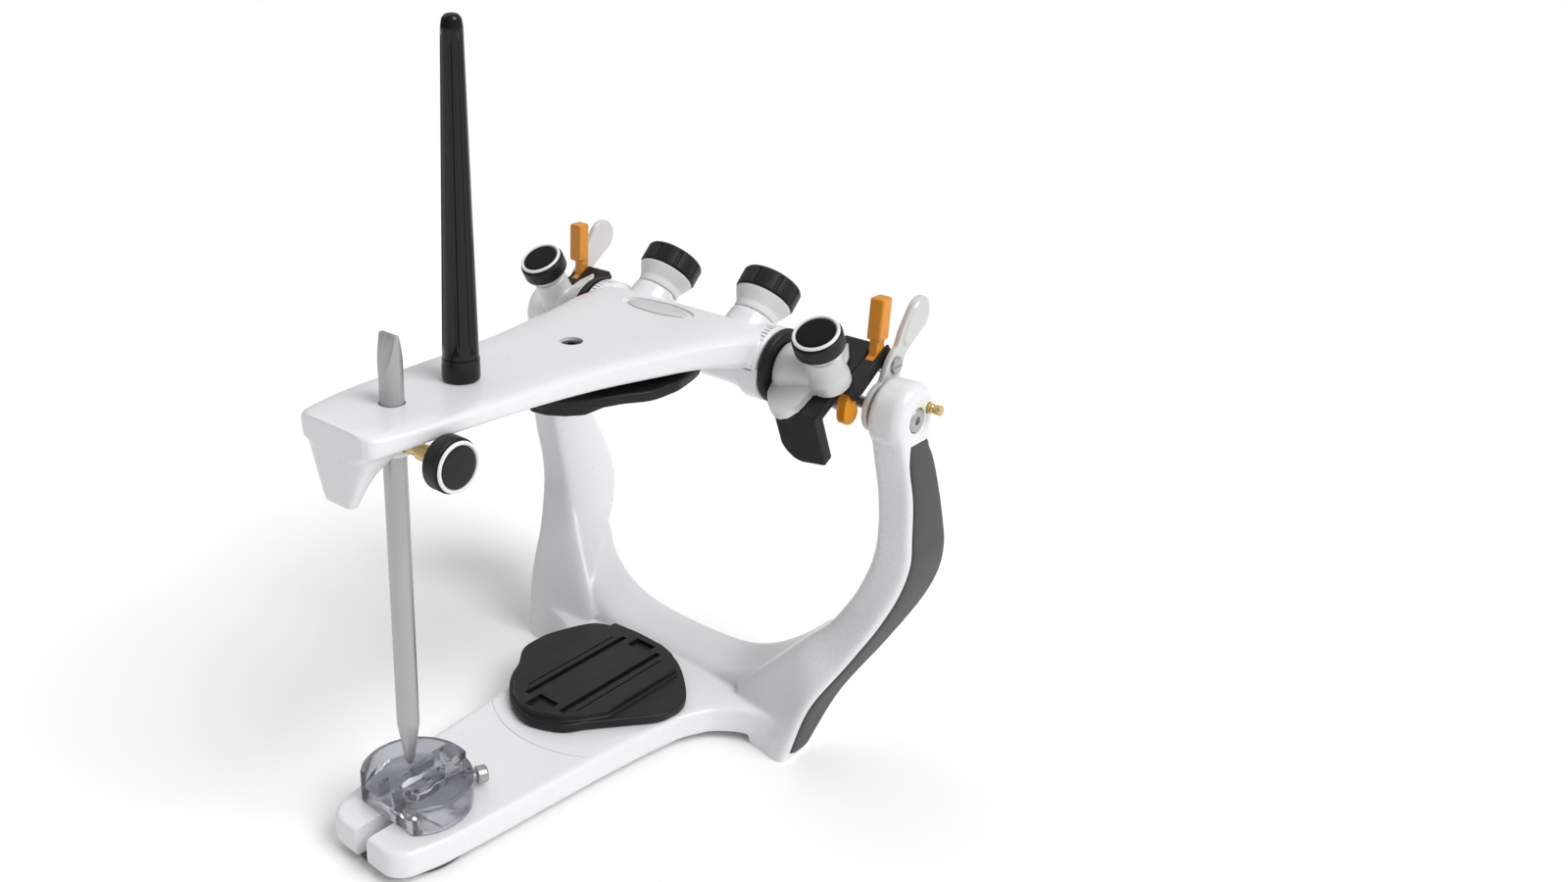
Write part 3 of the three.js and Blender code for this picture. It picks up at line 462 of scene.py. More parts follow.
def make_materials():
    kit = {}
    kit["white"] = finish_material(
        "white_coat", (0.80, 0.81, 0.82), (0.73, 0.74, 0.755), 0.3, 0.06, 45, 1.6, 0.02,
        Coat_Weight=0.35, Coat_Roughness=0.12)
    kit["white_plastic"] = finish_material(
        "white_plastic", (0.82, 0.82, 0.82), (0.76, 0.765, 0.77), 0.34, 0.05, 12, 0.8, 0.012)
    # the lighter edge colours given to the materials below are painted highlights on convex edges
    kit["black"] = finish_material(
        "black_moulded", (0.012, 0.0125, 0.014), (0.007, 0.0072, 0.008), 0.42, 0.1, 9, 0.45, 0.02,
        highlight_colour=(0.04, 0.04, 0.043), Specular_IOR_Level=0.3)
    kit["gloss"] = finish_material(
        "black_polished", (0.004, 0.004, 0.0045), (0.002, 0.002, 0.0022), 0.16, 0.05, 30, 1.2, 0.008,
        Specular_IOR_Level=0.35)
    kit["rubber"] = finish_material(
        "grip_rubber", (0.068, 0.069, 0.071), (0.050, 0.051, 0.053), 0.62, 0.1, 18, 0.5, 0.035,
        highlight_colour=(0.11, 0.11, 0.112))
    kit["silver"] = finish_material(
        "silver_cast", (0.68, 0.68, 0.67), (0.58, 0.58, 0.575), 0.42, 0.09, 6, 0.5, 0.018,
        highlight_colour=(0.80, 0.80, 0.79), Metallic=0.25)
    kit["steel"] = finish_material(
        "turned_steel", (0.47, 0.47, 0.47), (0.39, 0.39, 0.395), 0.36, 0.1, 14, 0.8, 0.012,
        stretch=(0.4, 0.4, 8), highlight_colour=(0.62, 0.62, 0.62), Metallic=0.85)
    kit["brass"] = finish_material(
        "gold_flash", (0.72, 0.56, 0.24), (0.55, 0.41, 0.16), 0.28, 0.1, 3, 0.4, 0.01, Metallic=0.95)
    kit["amber"] = finish_material(
        "amber_moulded", (0.78, 0.31, 0.012), (0.60, 0.21, 0.006), 0.3, 0.08, 8, 0.6, 0.015,
        highlight_colour=(0.86, 0.42, 0.05), Subsurface_Weight=0.25, Subsurface_Radius=(0.004, 0.0018, 0.0005))
    kit["smoke"] = finish_material(
        "smoky_acrylic", (0.62, 0.64, 0.68), (0.54, 0.56, 0.61), 0.06, 0.04, 20, 2.0, 0.006,
        Transmission_Weight=0.94, IOR=1.3)
    kit["matt"] = finish_material(
        "black_matt", (0.006, 0.006, 0.0065), (0.003, 0.003, 0.0035), 0.5, 0.1, 12, 0.4, 0.01,
        Specular_IOR_Level=0.12)
    kit["ink"] = finish_material(
        "scale_ink", (0.06, 0.065, 0.075), (0.10, 0.10, 0.11), 0.5, 0.1, 2, 0.3, 0.01)
    return kit


KIT = make_materials()

# ---------------------------------------------------------------- lower frame
COLUMN = [
    # inner x, z    outer x, z       front y inner, outer   rear y inner, outer   squareness
    ((34, 16), (59, -15), (118, 116), (142, 124), 6),
    ((43, 26), (63, 2.6), (122, 117.6), (148, 128), 6),
    ((53, 37.8), (67.5, 21.5), (130, 120.5), (156, 139), 6),
    ((60, 45.5), (73.8, 37.5), (136, 131.5), (166, 157), 7),
    ((65.2, 55), (79.6, 52), (140, 139), (170.5, 168), 7),
    ((69.3, 65), (83.4, 63.8), (141.3, 142), (170, 170), 7),
    ((72.5, 76), (86.2, 76), (141, 141.5), (166, 166), 7),
    ((73.8, 87), (86.3, 87), (139.6, 140.5), (162, 162), 7),
    ((73.0, 100), (85.6, 100), (138.6, 139.8), (157, 157), 7),
    ((71.5, 112), (84.0, 112), (136.5, 138), (153, 153), 7),
    ((HEAD_INNER, 124), (HEAD_OUTER, 124), (134, 134), (153, 153), 7),
]


def column_stations():
    stations = []
    for inner, outer, front, rear, n in COLUMN:
        inside = Vector((inner[0], (front[0] + rear[0]) / 2, inner[1]))
        outside = Vector((outer[0], (front[1] + rear[1]) / 2, outer[1]))
        across = outside - inside
        depth = (rear[0] - front[0] + rear[1] - front[1]) / 4
        stations.append({"at": (inside + outside) / 2, "u": across, "v": (0, 1, 0),
                         "a": across.length / 2, "b": depth, "n": n, "outer": outside})
    return stations


GRIP_TAPER = [0.62, 0.84, 0.85, 0.85, 0.85, 0.85, 0.86, 0.87, 0.86, 0.52]


def grip_stations(thick, spare):
    """The rubber insert in the column's outer face, from under the head to the foot."""
    stations = []
    columns = column_stations()[1:]
    for i, s in enumerate(columns):
        share = i / (len(columns) - 1)
        at = s["outer"] - s["u"].normalized() * 0.6
        at.y += 0.9 + share * 0.6
        if i == len(columns) - 1:
            at.z -= 5
        stations.append({"at": at, "u": s["u"], "v": (0, 1, 0), "a": thick,
                         "b": s["b"] * GRIP_TAPER[i] + spare, "n": 3.2})
    return stations


BASE_HALF = [(13, -21.2), (17.5, -17), (20.5, -5), (22.5, 15), (24, 35), (26, 60), (28.5, 82), (31, 98),
             (35.5, 108), (42, 114), (50, 117.5), (58, 118.3), (62.6, 118.5), (63.2, 120.8), (61, 127),
             (50, 135), (38, 141), (24, 145), (10, 146.2)]


def base_outline():
    mirror_half = [(-x, y) for x, y in reversed(BASE_HALF)]
    return rounded(BASE_HALF + mirror_half, 3.0, 4)


def saddle():
    """The low bridge that carries the base up into the columns."""
    across = [-54, -46, -34, -20, 0, 20, 34, 46, 54]
    top = [38, 30.5, 22.5, 17.6, 16.4, 17.6, 22.5, 30.5, 38]
    foot = [24, 14, 8, 5.5, 5, 5.5, 8, 14, 24]
    middle = [143, 138, 135.6, 135.6, 135.6, 135.6, 135.6, 138, 143]
    stations = [{"at": (x, y, (t + f) / 2), "u": (0, 0.12, 1), "v": (0, 1, 0.26),
                 "a": (t - f) / 2, "b": 11.2, "n": 4} for x, y, t, f in zip(across, middle, top, foot)]
    return loft(stations, 48, 100)


def head_disc():
    profile = [(0, HEAD_INNER), (10.6, HEAD_INNER), (11.4, HEAD_INNER + 1.2), (11.6, HEAD_OUTER - 3),
               (10.2, HEAD_OUTER - 0.6), (7.5, HEAD_OUTER), (0, HEAD_OUTER)]
    return aimed(lathe(profile, 0.8), (0, 144, 127), (1, 0, 0))


def lower_frame():
    foot = [(46, 116.6), (58, 117.4), (62.4, 118.0), (63.0, 120.6), (58, 127), (46, 128)]
    right = [loft(column_stations(), 64, 140), head_disc(), prism(foot, 0, 8, 0.6)]
    shapes = [prism(base_outline(), BASE_BOTTOM, BASE_TOP, 1.5), saddle()]
    shapes += right + [mirrored(s) for s in right]
    body = fused("cast_lower_frame", shapes, 0.6, 14)
    below, slot = block(-200, 200, -50, 300, -20, 0), block(-2.9, 2.9, -40, 8, -5, 30)
    tools = [below, slot, rod_z(2.9, -5, 30, 0, 8)]
    sided = [loft(grip_stations(1.8, 0.45), 48, 90), rod_x(2.3, 60, HEAD_OUTER - 4, *CONDYLE),
             rod_x(SCREW_R + 0.3, 77, 84, *SCREW_AT), rod_x(1.9, 76, 90, *STUB_AT)]
    tools += sided + [mirrored(s) for s in sided]
    tools.append(rod_z(3.0, -5, 20, 0, PLATE_Y))
    tools.append(parting_line())
    carved(body, *tools)
    dress(body, "lower", "white_cast", KIT["white"], "lower_frame")


def parting_line():
    """Fine curved seam in the top of the base, round the front of the plate seat."""
    outer = [(SEAM_R * math.cos(t), 88 + SEAM_R * math.sin(t)) for t in seam_angles()]
    inner = [(p[0] * SEAM_SHARE, 88 + (p[1] - 88) * SEAM_SHARE) for p in reversed(outer)]
    return prism(outer + inner, BASE_TOP - 0.3, BASE_TOP + 1)


def seam_angles():
    return [math.radians(226 + 88 * i / 60) for i in range(61)]


def grips():
    pad = fused("grip", [loft(grip_stations(1.4, 0), 48, 140)], 0.5, 2)
    dress_pair(pad, "rubber_grip", "lower", "grip_rubber", KIT["rubber"], "grip_pad")


def condyle_parts():
    stem_end = HEAD_OUTER - 5.8
    stem = aimed(lathe([(0, 55), (2, 55), (2, stem_end), (0, stem_end)]), (0, *CONDYLE), (1, 0, 0))
    sphere = shifted(ball(5.0), 55, *CONDYLE)
    ball_on_stem = fused("ball_on_stem", [stem, sphere], 0.22, 2)
    dress_pair(ball_on_stem, "condyle_ball", "lower", "steel", KIT["steel"], "condyle")
    screw = make("screw", rod_x(SCREW_R, 77.3, 82.8, *SCREW_AT, 0.5))
    carved(screw, rod_x(1.6, 81.2, 90, *SCREW_AT, sides=6))
    dress_pair(screw, "socket_screw", "lower", "silver_paint", KIT["steel"], "condyle_set_screw")
    profile = [(0, 76.3), (1.6, 76.3), (1.6, 84.2), (1.3, 84.4), (1.3, 84.9), (1.6, 85.1), (1.6, 87.1),
               (0, 87.1)]
    stub = make("stub", aimed(lathe(profile, 0.15), (0, *STUB_AT), (1, 0, 0)))
    dress_pair(stub, "gold_stub", "lower", "brass", KIT["brass"], "facebow_stub")


# ---------------------------------------------------------------- mounting plates
PLATE_OUTLINE = [(-31, 30), (-37, 15.3), (-37.9, 8), (-37, -1), (-31, -9.5), (-28, -15.5), (-24, -21),
                 (-17.6, -27), (-10.4, -31), (-2.6, -32), (8, -27), (13.2, -19.3), (21.5, -8), (27.9, 1),
                 (29.3, 7.5), (29, 12.5), (26.6, 17.5), (21.2, 23.5), (14.4, 29.5), (8.2, 33.5), (1.7, 35.5),
                 (-11, 36), (-22, 35)]
PLATE_BAND = [(-22, -20.5), (-17, -25.8), (-10, -29.6), (-2.6, -30.6), (6.5, -26), (11.5, -19.5),
              (15.7, -12), (15.7, 26), (8, 32), (1.5, 34), (-11, 34.6), (-22, 33.5)]


def mounting_plate(name):
    low = prism([tuple(p) for p in spline(PLATE_OUTLINE, 160)], 0, 3.4, 0.7)
    band = prism(rounded(PLATE_BAND, 1.2), 2.0, 5.8, 0.4)
    plate = fused(name, [low, band], 0.38, 1)
    tools = [block(x - 1.1, x + 1.1, -24, 28, 4.2, 9) for x in (-12, 4.6)]
    tools += [block(x - 0.3, x + 0.3, -20, 25, 5.2, 9) for x in (-15.4, 8.2)]
    tools += [block(-8.1, 0.7, -29, -21, 4.4, 9), block(-8.1, 0.7, 25, 31, 4.4, 9)]
    return carved(plate, *tools)


def plates():
    lower = mounting_plate("ribbed_plate_lower")
    lower.data.transform(Matrix.Translation((0, PLATE_Y * MM, (BASE_TOP + 0.3) * MM)))
    dress(lower, "lower", "black_plastic", KIT["black"], "lower_mounting_plate")
    upper = mounting_plate("ribbed_plate_upper")
    back = Matrix.Translation((0, -PIN_Y * MM, 0))
    turn = Matrix.Diagonal((0.72, 0.94, 1, 1)) @ Matrix.Rotation(math.pi, 4, "Y")
    place = Matrix.Translation((0, (UPPER_PLATE_Y + PIN_Y) * MM, 139.2 * MM))
    upper.data.transform(place @ turn @ back)
    dress(upper, "upper", "black_plastic", KIT["black"], "upper_mounting_plate")
    head = [(0, 142.2), (1.6, 142.2), (1.6, 146.0), (3.4, 146.0), (3.4, 150.0), (0, 150.0)]
    screw = make("plate_cap_screw", shifted(lathe(head, 0.4), 0, PLATE_SCREW_Y))
    carved(screw, rod_z(1.5, 147.4, 160, 0, PLATE_SCREW_Y, sides=6))
    dress(screw, "upper", "black_plastic", KIT["black"], "upper_plate_screw")
    low = make("plate_slot_screw", rod_z(2.6, 3.2, 12.0, 0, PLATE_Y, 0.4))
    carved(low, block(-0.5, 0.5, PLATE_Y - 4, PLATE_Y + 4, 2, 4.4))
    dress(low, "lower", "steel", KIT["steel"], "lower_plate_screw")


# ---------------------------------------------------------------- upper frame
ARM = [(-21.4, 13.0, 142.2, 4), (-17.5, 16.6, 143.4, 5), (0, 19.6, 144.9, 6), (20, 20.6, 144.7, 6),
       (40, 21.8, 144.2, 6), (60, 23.6, 143.2, 6), (80, 27.4, 142.2, 6), (100, 31.8, 141.0, 6),
       (114, 36.0, 138.0, 5), (126, 38.0, 133.0, 5)]
BEAK = [(-12.7, 147.4, 16.0, 8.6), (-14.7, 142.4, 13.6, 6.6), (-17.5, 137.0, 10.6, 3.8),
        (-18.9, 131.0, 7.8, 2.4), (-19.4, 126.6, 5.6, 1.9)]


def arm():
    stations = [{"at": (0, y, (ARM_TOP + low) / 2), "u": (1, 0, 0), "v": (0, 0, 1), "a": half,
                 "b": (ARM_TOP - low) / 2, "n": n} for y, half, low, n in ARM]
    return loft(stations, 80, 120)


def beak():
    stations = [{"at": (0, y, z), "u": (1, 0, 0), "v": (0, 1, 0), "a": a, "b": b, "n": 5}
                for y, z, a, b in BEAK]
    return loft(stations, 48, 60)


def barrel():
    """One barrel, slimmer inboard of the ring at its outer end, with the boss for the rear knob."""
    slim = BARREL_R - WAIST
    profile = [(0, 12.0), (slim, 12.0), (slim, WAIST_FROM)]
    for k in range(1, 9):
        share = k / 8
        radius = BARREL_R - WAIST * math.sqrt(1 - share ** 2)
        profile.append((radius, WAIST_FROM + WAIST_RISE * share))
    profile += [(BARREL_R, 37.8), (BARREL_R - 0.8, 38.6), (0, 38.6)]
    boss = aimed(lathe([(0, 0), (9.6, 0), (8.6, 9), (7.9, 13.6), (0, 13.6)], 0.4),
                 (KNOB_X, *BARREL), (0, 1, 1))
    return [aimed(lathe(profile, 0.5), (0, *BARREL), (1, 0, 0)), boss]


def upper_frame():
    right = barrel()
    shapes = [arm(), beak(), rod_z(5.6, 136.0, 148, 0, 0, 0.6)] + right + [mirrored(s) for s in right]
    body = fused("cast_upper_frame", shapes, 0.5, 4)
    tools = [block(-45, 45, 38, 117.6, 100, 139.5), block(-12, 12, 118, 160, 100, 145.8),
             rod_z(15.5, 100, 160, 0, 145.4), rod_z(PIN_R + 0.3, 100, 200, 0, 0),
             rod_x(2.2, 2, 30, 0, PIN_SCREW_Z), rod_z(3.3, 146.4, 160, 0, POST_Y),
             rod_z(3.7, 145.4, 160, 0, PLATE_SCREW_Y), rod_z(2.0, 120, 160, 0, PLATE_SCREW_Y),
             rod_x(7.3, -60, 60, *BARREL), oval_recess()]
    for side in (1, -1):
        bore = lathe([(0, 9.4), (2.5, 9.4), (2.5, 20), (0, 20)], 0)
        tools.append(aimed(bore, (side * KNOB_X, *BARREL), (0, 1, 1)))
    carved(body, *tools)
    dress(body, "upper", "white_cast", KIT["white"], "upper_frame")


def oval_recess():
    """Shallow blank oval sunk into the top of the arm in front of the rear scoop."""
    return shifted(prism(oval(15.0, 6.0), ARM_TOP - 0.7, ARM_TOP + 5), -3.0, 117.0)


def oval(half_x, half_y, count=96):
    return [(half_x * math.cos(2 * math.pi * i / count), half_y * math.sin(2 * math.pi * i / count))
            for i in range(count)]


def oval_badge():
    """Raised blank island inside the oval recess."""
    island = shifted(prism(oval(12.4, 4.2), ARM_TOP - 0.8, ARM_TOP - 0.15, 0.2), -3.0, 117.0)
    dress(make("blank_badge", island), "upper", "silver_paint", KIT["silver"])


def barrel_scale():
    """Engraved degree marks round the outer end of each barrel."""
    marks = []
    for i in range(13):
        angle = math.radians(92 + 7.0 * i)
        length = 3.6 if i % 4 == 0 else 2.2
        mark = block(37.2 - length, 37.2, -0.14, 0.14, 12.1, 12.46, 0.03)
        turn = Matrix.Rotation(angle - math.pi / 2, 4, "X")
        marks.append(moved(mark, Matrix.Translation((0, *BARREL)) @ turn))
    dress_pair(make("marks", joined(*marks)), "barrel_scale", "upper", "black_plastic", KIT["ink"])


def support_post():
    flutes = 6

    def ripple(angle, height):
        low = max(0.0, min(1.0, (height - 159.5) / 3.0))
        high = max(0.0, min(1.0, (247.5 - height) / 3.0))
        wave = max(0.0, math.cos(flutes * angle)) ** 0.7
        return 1 - 0.17 * wave * math.sqrt(low * high)

    profile = [(0, 147.0), (2.9, 147.0), (2.9, 151.2), (5.6, 151.2), (5.7, 152.4), (5.6, 157.5),
               (5.35, 158.2)]
    for k in range(1, 60):
        share = k / 60
        profile.append((5.35 - 2.25 * share, 158.2 + 90.4 * share))
    profile += [(3.1, 248.6), (2.7, 250.8), (1.7, 251.9), (0, POST_TOP)]
    post = make("fluted_post", shifted(lathe(profile, 0.5, 144, ripple), 0, POST_Y))
    dress(post, "upper", "black_gloss", KIT["gloss"], "support_post", crease=50)


def incisal_pin():
    profile = [(0, PIN_TIP), (0.8, PIN_TIP + 0.3), (1.5, PIN_TIP + 2), (PIN_R, PIN_TIP + 15.5),
               (PIN_R, PIN_TOP), (0, PIN_TOP)]
    pin = make("ground_pin", lathe(profile, 0.35, 96))
    for side in (1, -1):
        wedge = shifted(block(-6, 6, -6, 6, -20, 20), 0, side * 6, 0)
        carved(pin, shifted(moved(wedge, Matrix.Rotation(side * 0.247, 4, "X")), 0, side * 0.6, PIN_TOP))
    dress(pin, "pin", "steel", KIT["steel"], "incisal_pin")


def knob_parts(stem, origin, direction, start, radius, depth):
    """A clamping knob: rubber-black rim, white ring and black disc."""
    end = start + depth
    rim = [(0, start), (radius - 0.7, start), (radius, start + 0.7), (radius, start + depth - 0.4),
           (radius - 0.8, end), (0, end)]
    ring = [(0, end + 0.3), (radius - 0.6, end + 0.3), (radius - 0.5, end + 0.9),
            (radius - 1.0, end + 1.3), (radius - 1.45, end + 1.2), (radius - 1.55, end + 0.75),
            (0, end + 0.75)]
    disc = [(0, end + 0.8), (radius - 1.75, end + 0.8), (radius - 1.8, end + 1.05),
            (radius - 2.6, end + 1.2), (0, end + 1.3)]
    parts = []
    for name, profile in (("rim", rim), ("ring", ring), ("disc", disc)):
        parts.append((name, make(f"{stem}_{name}", aimed(lathe(profile, 0.35, 96), origin, direction))))
    return parts


def pin_screw():
    origin = (0, 0, PIN_SCREW_Z)
    shaft = [(0, 4.1), (1.9, 4.1), (1.9, 11), (2.5, 11.3), (2.5, 20.2), (0, 20.2)]
    shank = make("pin_screw_shank", aimed(lathe(shaft, 0.2), origin, (1, 0, 0)))
    dress(shank, "pin_screw", "brass", KIT["brass"], "pin_screw_shaft")
    looks = {"rim": ("black_plastic", "black", ("pin_screw_knob",)),
             "ring": ("white_plastic", "white_plastic", ("pin_screw_cap",)),
             "disc": ("black_plastic", "gloss", ())}
    for name, piece in knob_parts("pin_knob", origin, (1, 0, 0), 20.5, 8.0, 5.7):
        slot, look, nodes = looks[name]
        dress(piece, "pin_screw", slot, KIT[look], *nodes)


def rear_knobs():
    origin, direction = (KNOB_X, *BARREL), (0, 1, 1)
    neck_profile = [(0, 9.7), (2.2, 9.7), (2.2, 13.9), (7.6, 13.9), (7.8, 16.4), (9.6, 19.6), (10.2, 20.8),
                    (0, 20.8)]
    neck = make("neck", aimed(lathe(neck_profile, 0.5, 96), origin, direction))
    dress_pair(neck, "rear_neck", "rear_screw", "white_plastic", KIT["white_plastic"], "rear_knob_neck")

    def grip_ripple(angle, height):
        near = math.cos(8 * angle)
        inside = 21.6 < height < 27.2
        return 1 - (0.045 * max(0.0, (near - 0.86) / 0.14) if inside else 0.0)

    cap_profile = [(0, 21.1), (10.2, 21.1), (10.5, 21.5), (10.5, 21.7), (10.5, 27.1), (10.5, 27.3),
                   (9.9, 28.2), (0, 28.2)]
    cap = make("cap", aimed(lathe(cap_profile, 0.3, 240, grip_ripple), origin, direction))
    dress_pair(cap, "rear_cap", "rear_screw", "black_plastic", KIT["black"], "rear_knob_cap")


# ---------------------------------------------------------------- condylar guides
IN_GUIDE = Matrix.Translation((0, *BARREL)) @ Matrix.Rotation(CLINE, 4, "X")


def guide_block(x0, x1, u0, u1, w0, w1, edge=0.3):
    return moved(block(x0, x1, u0, u1, w0, w1, edge), IN_GUIDE)


def side_plate(outline, x0, x1, edge=0.3):
    """A plate seen from the side, drawn as (u, w) points and pushed along x."""
    return moved(prism(outline, x0, x1, edge), IN_GUIDE @ ALONG_X)


def guide_lathe(profile, x, edge=0.3, sides=72):
    return moved(shifted(lathe(profile, edge, sides), x), IN_GUIDE)


def front_plate(outline, u0, u1, edge=0.3):
    """A plate seen from the front, drawn as (x, w) points and pushed along u."""
    turn = Matrix(((1, 0, 0, 0), (0, 0, -1, u1), (0, 1, 0, 0), (0, 0, 0, 1)))
    return moved(prism(outline, 0, u1 - u0, edge), IN_GUIDE @ turn)


def condylar_guide():
    plan = [(GUIDE_IN, -14.8), (GUIDE_OUT, -14.8), (GUIDE_OUT, 20.6), (51.5, 20.6), (50.5, 15.5),
            (GUIDE_IN, 2.2)]
    roof = moved(prism(plan, ROOF_BOTTOM, ROOF_TOP, 0.3), IN_GUIDE)
    inner_outline = [(-15.4, -20.0), (-6, -19.4), (-0.5, -13), (1.6, -3), (-14.8, -3)]
    inner = side_plate(inner_outline, GUIDE_IN, GUIDE_IN + 1.7)
    cheek = side_plate(circle(3.0, LOCK_U, LOCK_W), GUIDE_OUT - 1.8, GUIDE_OUT)
    web = guide_block(GUIDE_OUT - 1.8, GUIDE_OUT, LOCK_U - 2.6, LOCK_U + 1.4, LOCK_W, ROOF_TOP - 0.5)
    guide = fused("guide", [roof, guide_leg(), inner, cheek, web], 0.3, 2)
    carved(guide, guide_lathe([(0, -8), (2.0, -8), (2.0, 2), (0, 2)], BENNETT_X, 0),
           side_plate(circle(1.5, LOCK_U, LOCK_W), 55, 70, 0))
    dress_pair(guide, "guide_shell", "guide", "black_plastic", KIT["black"], "condylar_guide")


def guide_leg():
    """Front wall of the guide, leaning forward, its lower inner corner cut round."""
    front = [(GUIDE_IN, -1.7), (GUIDE_IN, -18), (47.4, -21), (49.8, -23.4), (52.5, -24.2), (60, -22.6),
             (GUIDE_OUT, -22.2), (GUIDE_OUT, -1.7)]
    points, faces = front_plate(rounded(front, 1.0), -17.0, -13.0)
    back = IN_GUIDE.inverted()
    leaning = []
    for point in points:
        local = back @ Vector(point)
        local.y += 2.2 * (1 - local.z / -24.2) * 0.9
        leaning.append(IN_GUIDE @ local)
    return leaning, faces


LEAF = [(42.6, 8.5), (42.6, -9), (43.6, -12.6), (46.8, -17), (50.4, -19.2), (53.6, -18.4), (55.6, -14.5),
        (56.4, -6), (62, -4.6), (64, 0), (62, 5), (54, 9)]


def shape_of(obj):
    """Turns an object back into a shape in millimetres, and removes the object."""
    points = [Vector((v.co.x / MM, v.co.y / MM - PIN_Y, v.co.z / MM)) for v in obj.data.vertices]
    faces = [tuple(f.vertices) for f in obj.data.polygons]
    bpy.data.objects.remove(obj)
    return points, faces


def clamp_bracket():
    low = ROOF_TOP + 0.3
    hub_profile = [(0, 42.4), (8.4, 42.4), (8.9, 43), (8.9, 45.6), (6.6, 51), (5.4, 57), (0, 57)]
    hub = make("hub", aimed(lathe(hub_profile, 0.6), (0, *BARREL), (1, 0, 0)))
    carved(hub, guide_block(45.6, 80, -30, 30, -20, low, 0))
    hub_shape = shape_of(hub)
    leaf = moved(prism(list(reversed(rounded(LEAF, 1.5))), low, low + 3.0, 0.5), IN_GUIDE)
    boss = guide_lathe([(0, low), (6.6, low), (6.6, 2.4), (6.1, 4.6), (5.9, 12.0), (0, 12.0)], BENNETT_X, 0.6)
    pointer_outline = [(51.5, 5), (60.5, 5), (58.6, 11.5), (55.4, 16.4), (53.4, 12.5)]
    pointer = moved(prism(pointer_outline, low, low + 1.6, 0.2), IN_GUIDE)
    bracket = fused("bracket", [hub_shape, leaf, boss, pointer], 0.3, 3)
    carved(bracket, guide_lathe([(0, -9), (2.0, -9), (2.0, 20), (0, 20)], BENNETT_X, 0))
    dress_pair(bracket, "clamp_casting", "carrier", "silver_paint", KIT["silver"], "clamp_bracket")


def carrier_shaft():
    at = (0, *BARREL)
    rod = lathe([(0, 0.5), (7.0, 0.5), (7.0, 39.0), (0, 39.0)], 0.4)
    shaft = make("shaft", aimed(rod, at, (1, 0, 0)))
    dress_pair(shaft, "core_shaft", "carrier", "black_plastic", KIT["black"], "inclination_shaft")
    profile = [(0, 39.3), (12.2, 39.3), (12.4, 40), (12.4, 41.5), (11.8, 42.1), (0, 42.1)]
    collar = make("collar", aimed(lathe(profile, 0.3, 96), at, (1, 0, 0)))
    dress_pair(collar, "core_collar", "carrier", "black_plastic", KIT["black"], "inclination_collar")


def bennett_knob():
    profile = [(0, -5), (1.7, -5), (1.7, 12.3), (5.9, 12.3), (5.9, 14.2), (0, 14.2)]
    shank = make("shank", guide_lathe(profile, BENNETT_X))
    dress_pair(shank, "bennett_shank", "bennett_screw", "silver_paint", KIT["silver"], "bennett_knob_shank")
    origin = (BENNETT_X, *BARREL)
    direction = (0, -math.sin(CLINE), math.cos(CLINE))
    looks = {"rim": ("black_plastic", "black", "bennett_knob"),
             "ring": ("white_plastic", "white_plastic", "bennett_knob_cap"),
             "disc": ("black_plastic", "matt", None)}
    for name, piece in knob_parts("bennett", origin, direction, 14.5, 8.0, 5.7):
        slot, look, node = looks[name]
        dress_pair(piece, f"bennett_{name}_piece", "bennett_screw", slot, KIT[look], node)


ROCKER = [(23.0, -9.0), (22.4, -12), (24.6, -17.2), (24.2, -20.4), (21.4, -20.6), (20.6, -17.6),
          (18.0, -11.6), (15.6, -6.2), (14.0, -5.2), (4.0, -5.2), (1.4, -8.0), (-2.4, -14.2), (-5.6, -12.6),
          (-6.2, -9.6), (-4.4, -6.0), (0, -2.6), (20.6, -2.6), (22.6, -5.2)]
COVER = [(-2, -1.75), (13.2, -1.75), (14, -2.2), (21.6, -2.2), (22.8, -8.4), (20.4, -11.8),
         (17.4, -11), (15.2, -6.8), (4, -7.6), (-0.6, -6.6)]


def centric_lock():
    """Amber rocker against the guide's outer side: arm, round nose and the upright tab."""
    x0 = GUIDE_OUT + 0.3
    arm_plate = side_plate(rounded(ROCKER, 1.2), x0, x0 + 3.1, 0.5)
    bulb = side_plate(circle(3.7, -2.4, -10.9), x0, x0 + 3.3, 0.8)
    tab_plan = [(x0 - 0.5, 141.9), (x0 + 4.6, 141.9), (x0 + 4.6, 147.3), (x0 - 0.5, 147.3)]
    tab = prism(rounded(tab_plan, 0.8), 149.2, 163.2, 0.8)
    stem = block(x0, x0 + 3.1, 143.5, 147.7, 141.6, 151, 0.3)
    lock = fused("lock", [arm_plate, bulb, tab, stem], 0.28, 3)
    carved(lock, side_plate(circle(1.5, LOCK_U, LOCK_W), 55, 70, 0))
    dress_pair(lock, "amber_lock", "lock", "amber_plastic", KIT["amber"], "centric_lock")


def lock_cover():
    """Thin black cover over the rocker, with the pin the rocker turns on."""
    wall = side_plate(list(reversed(rounded(COVER, 0.6))), GUIDE_OUT + 3.7, GUIDE_OUT + 4.3, 0.05)
    strip = guide_block(GUIDE_OUT + 0.3, GUIDE_OUT + 4.2, -2, 13.2, -2.25, -1.75, 0.05)
    cover = fused("cover", [wall, strip], 0.16, 1)
    dress_pair(cover, "lock_plate", "guide", "black_plastic", KIT["black"], "lock_cover")
    pin = side_plate(circle(1.2, LOCK_U, LOCK_W), GUIDE_OUT - 1.8, GUIDE_OUT + 4.4, 0.1)
    dress_pair(make("pivot", pin), "lock_pin", "guide", "steel", KIT["steel"], "lock_pivot")


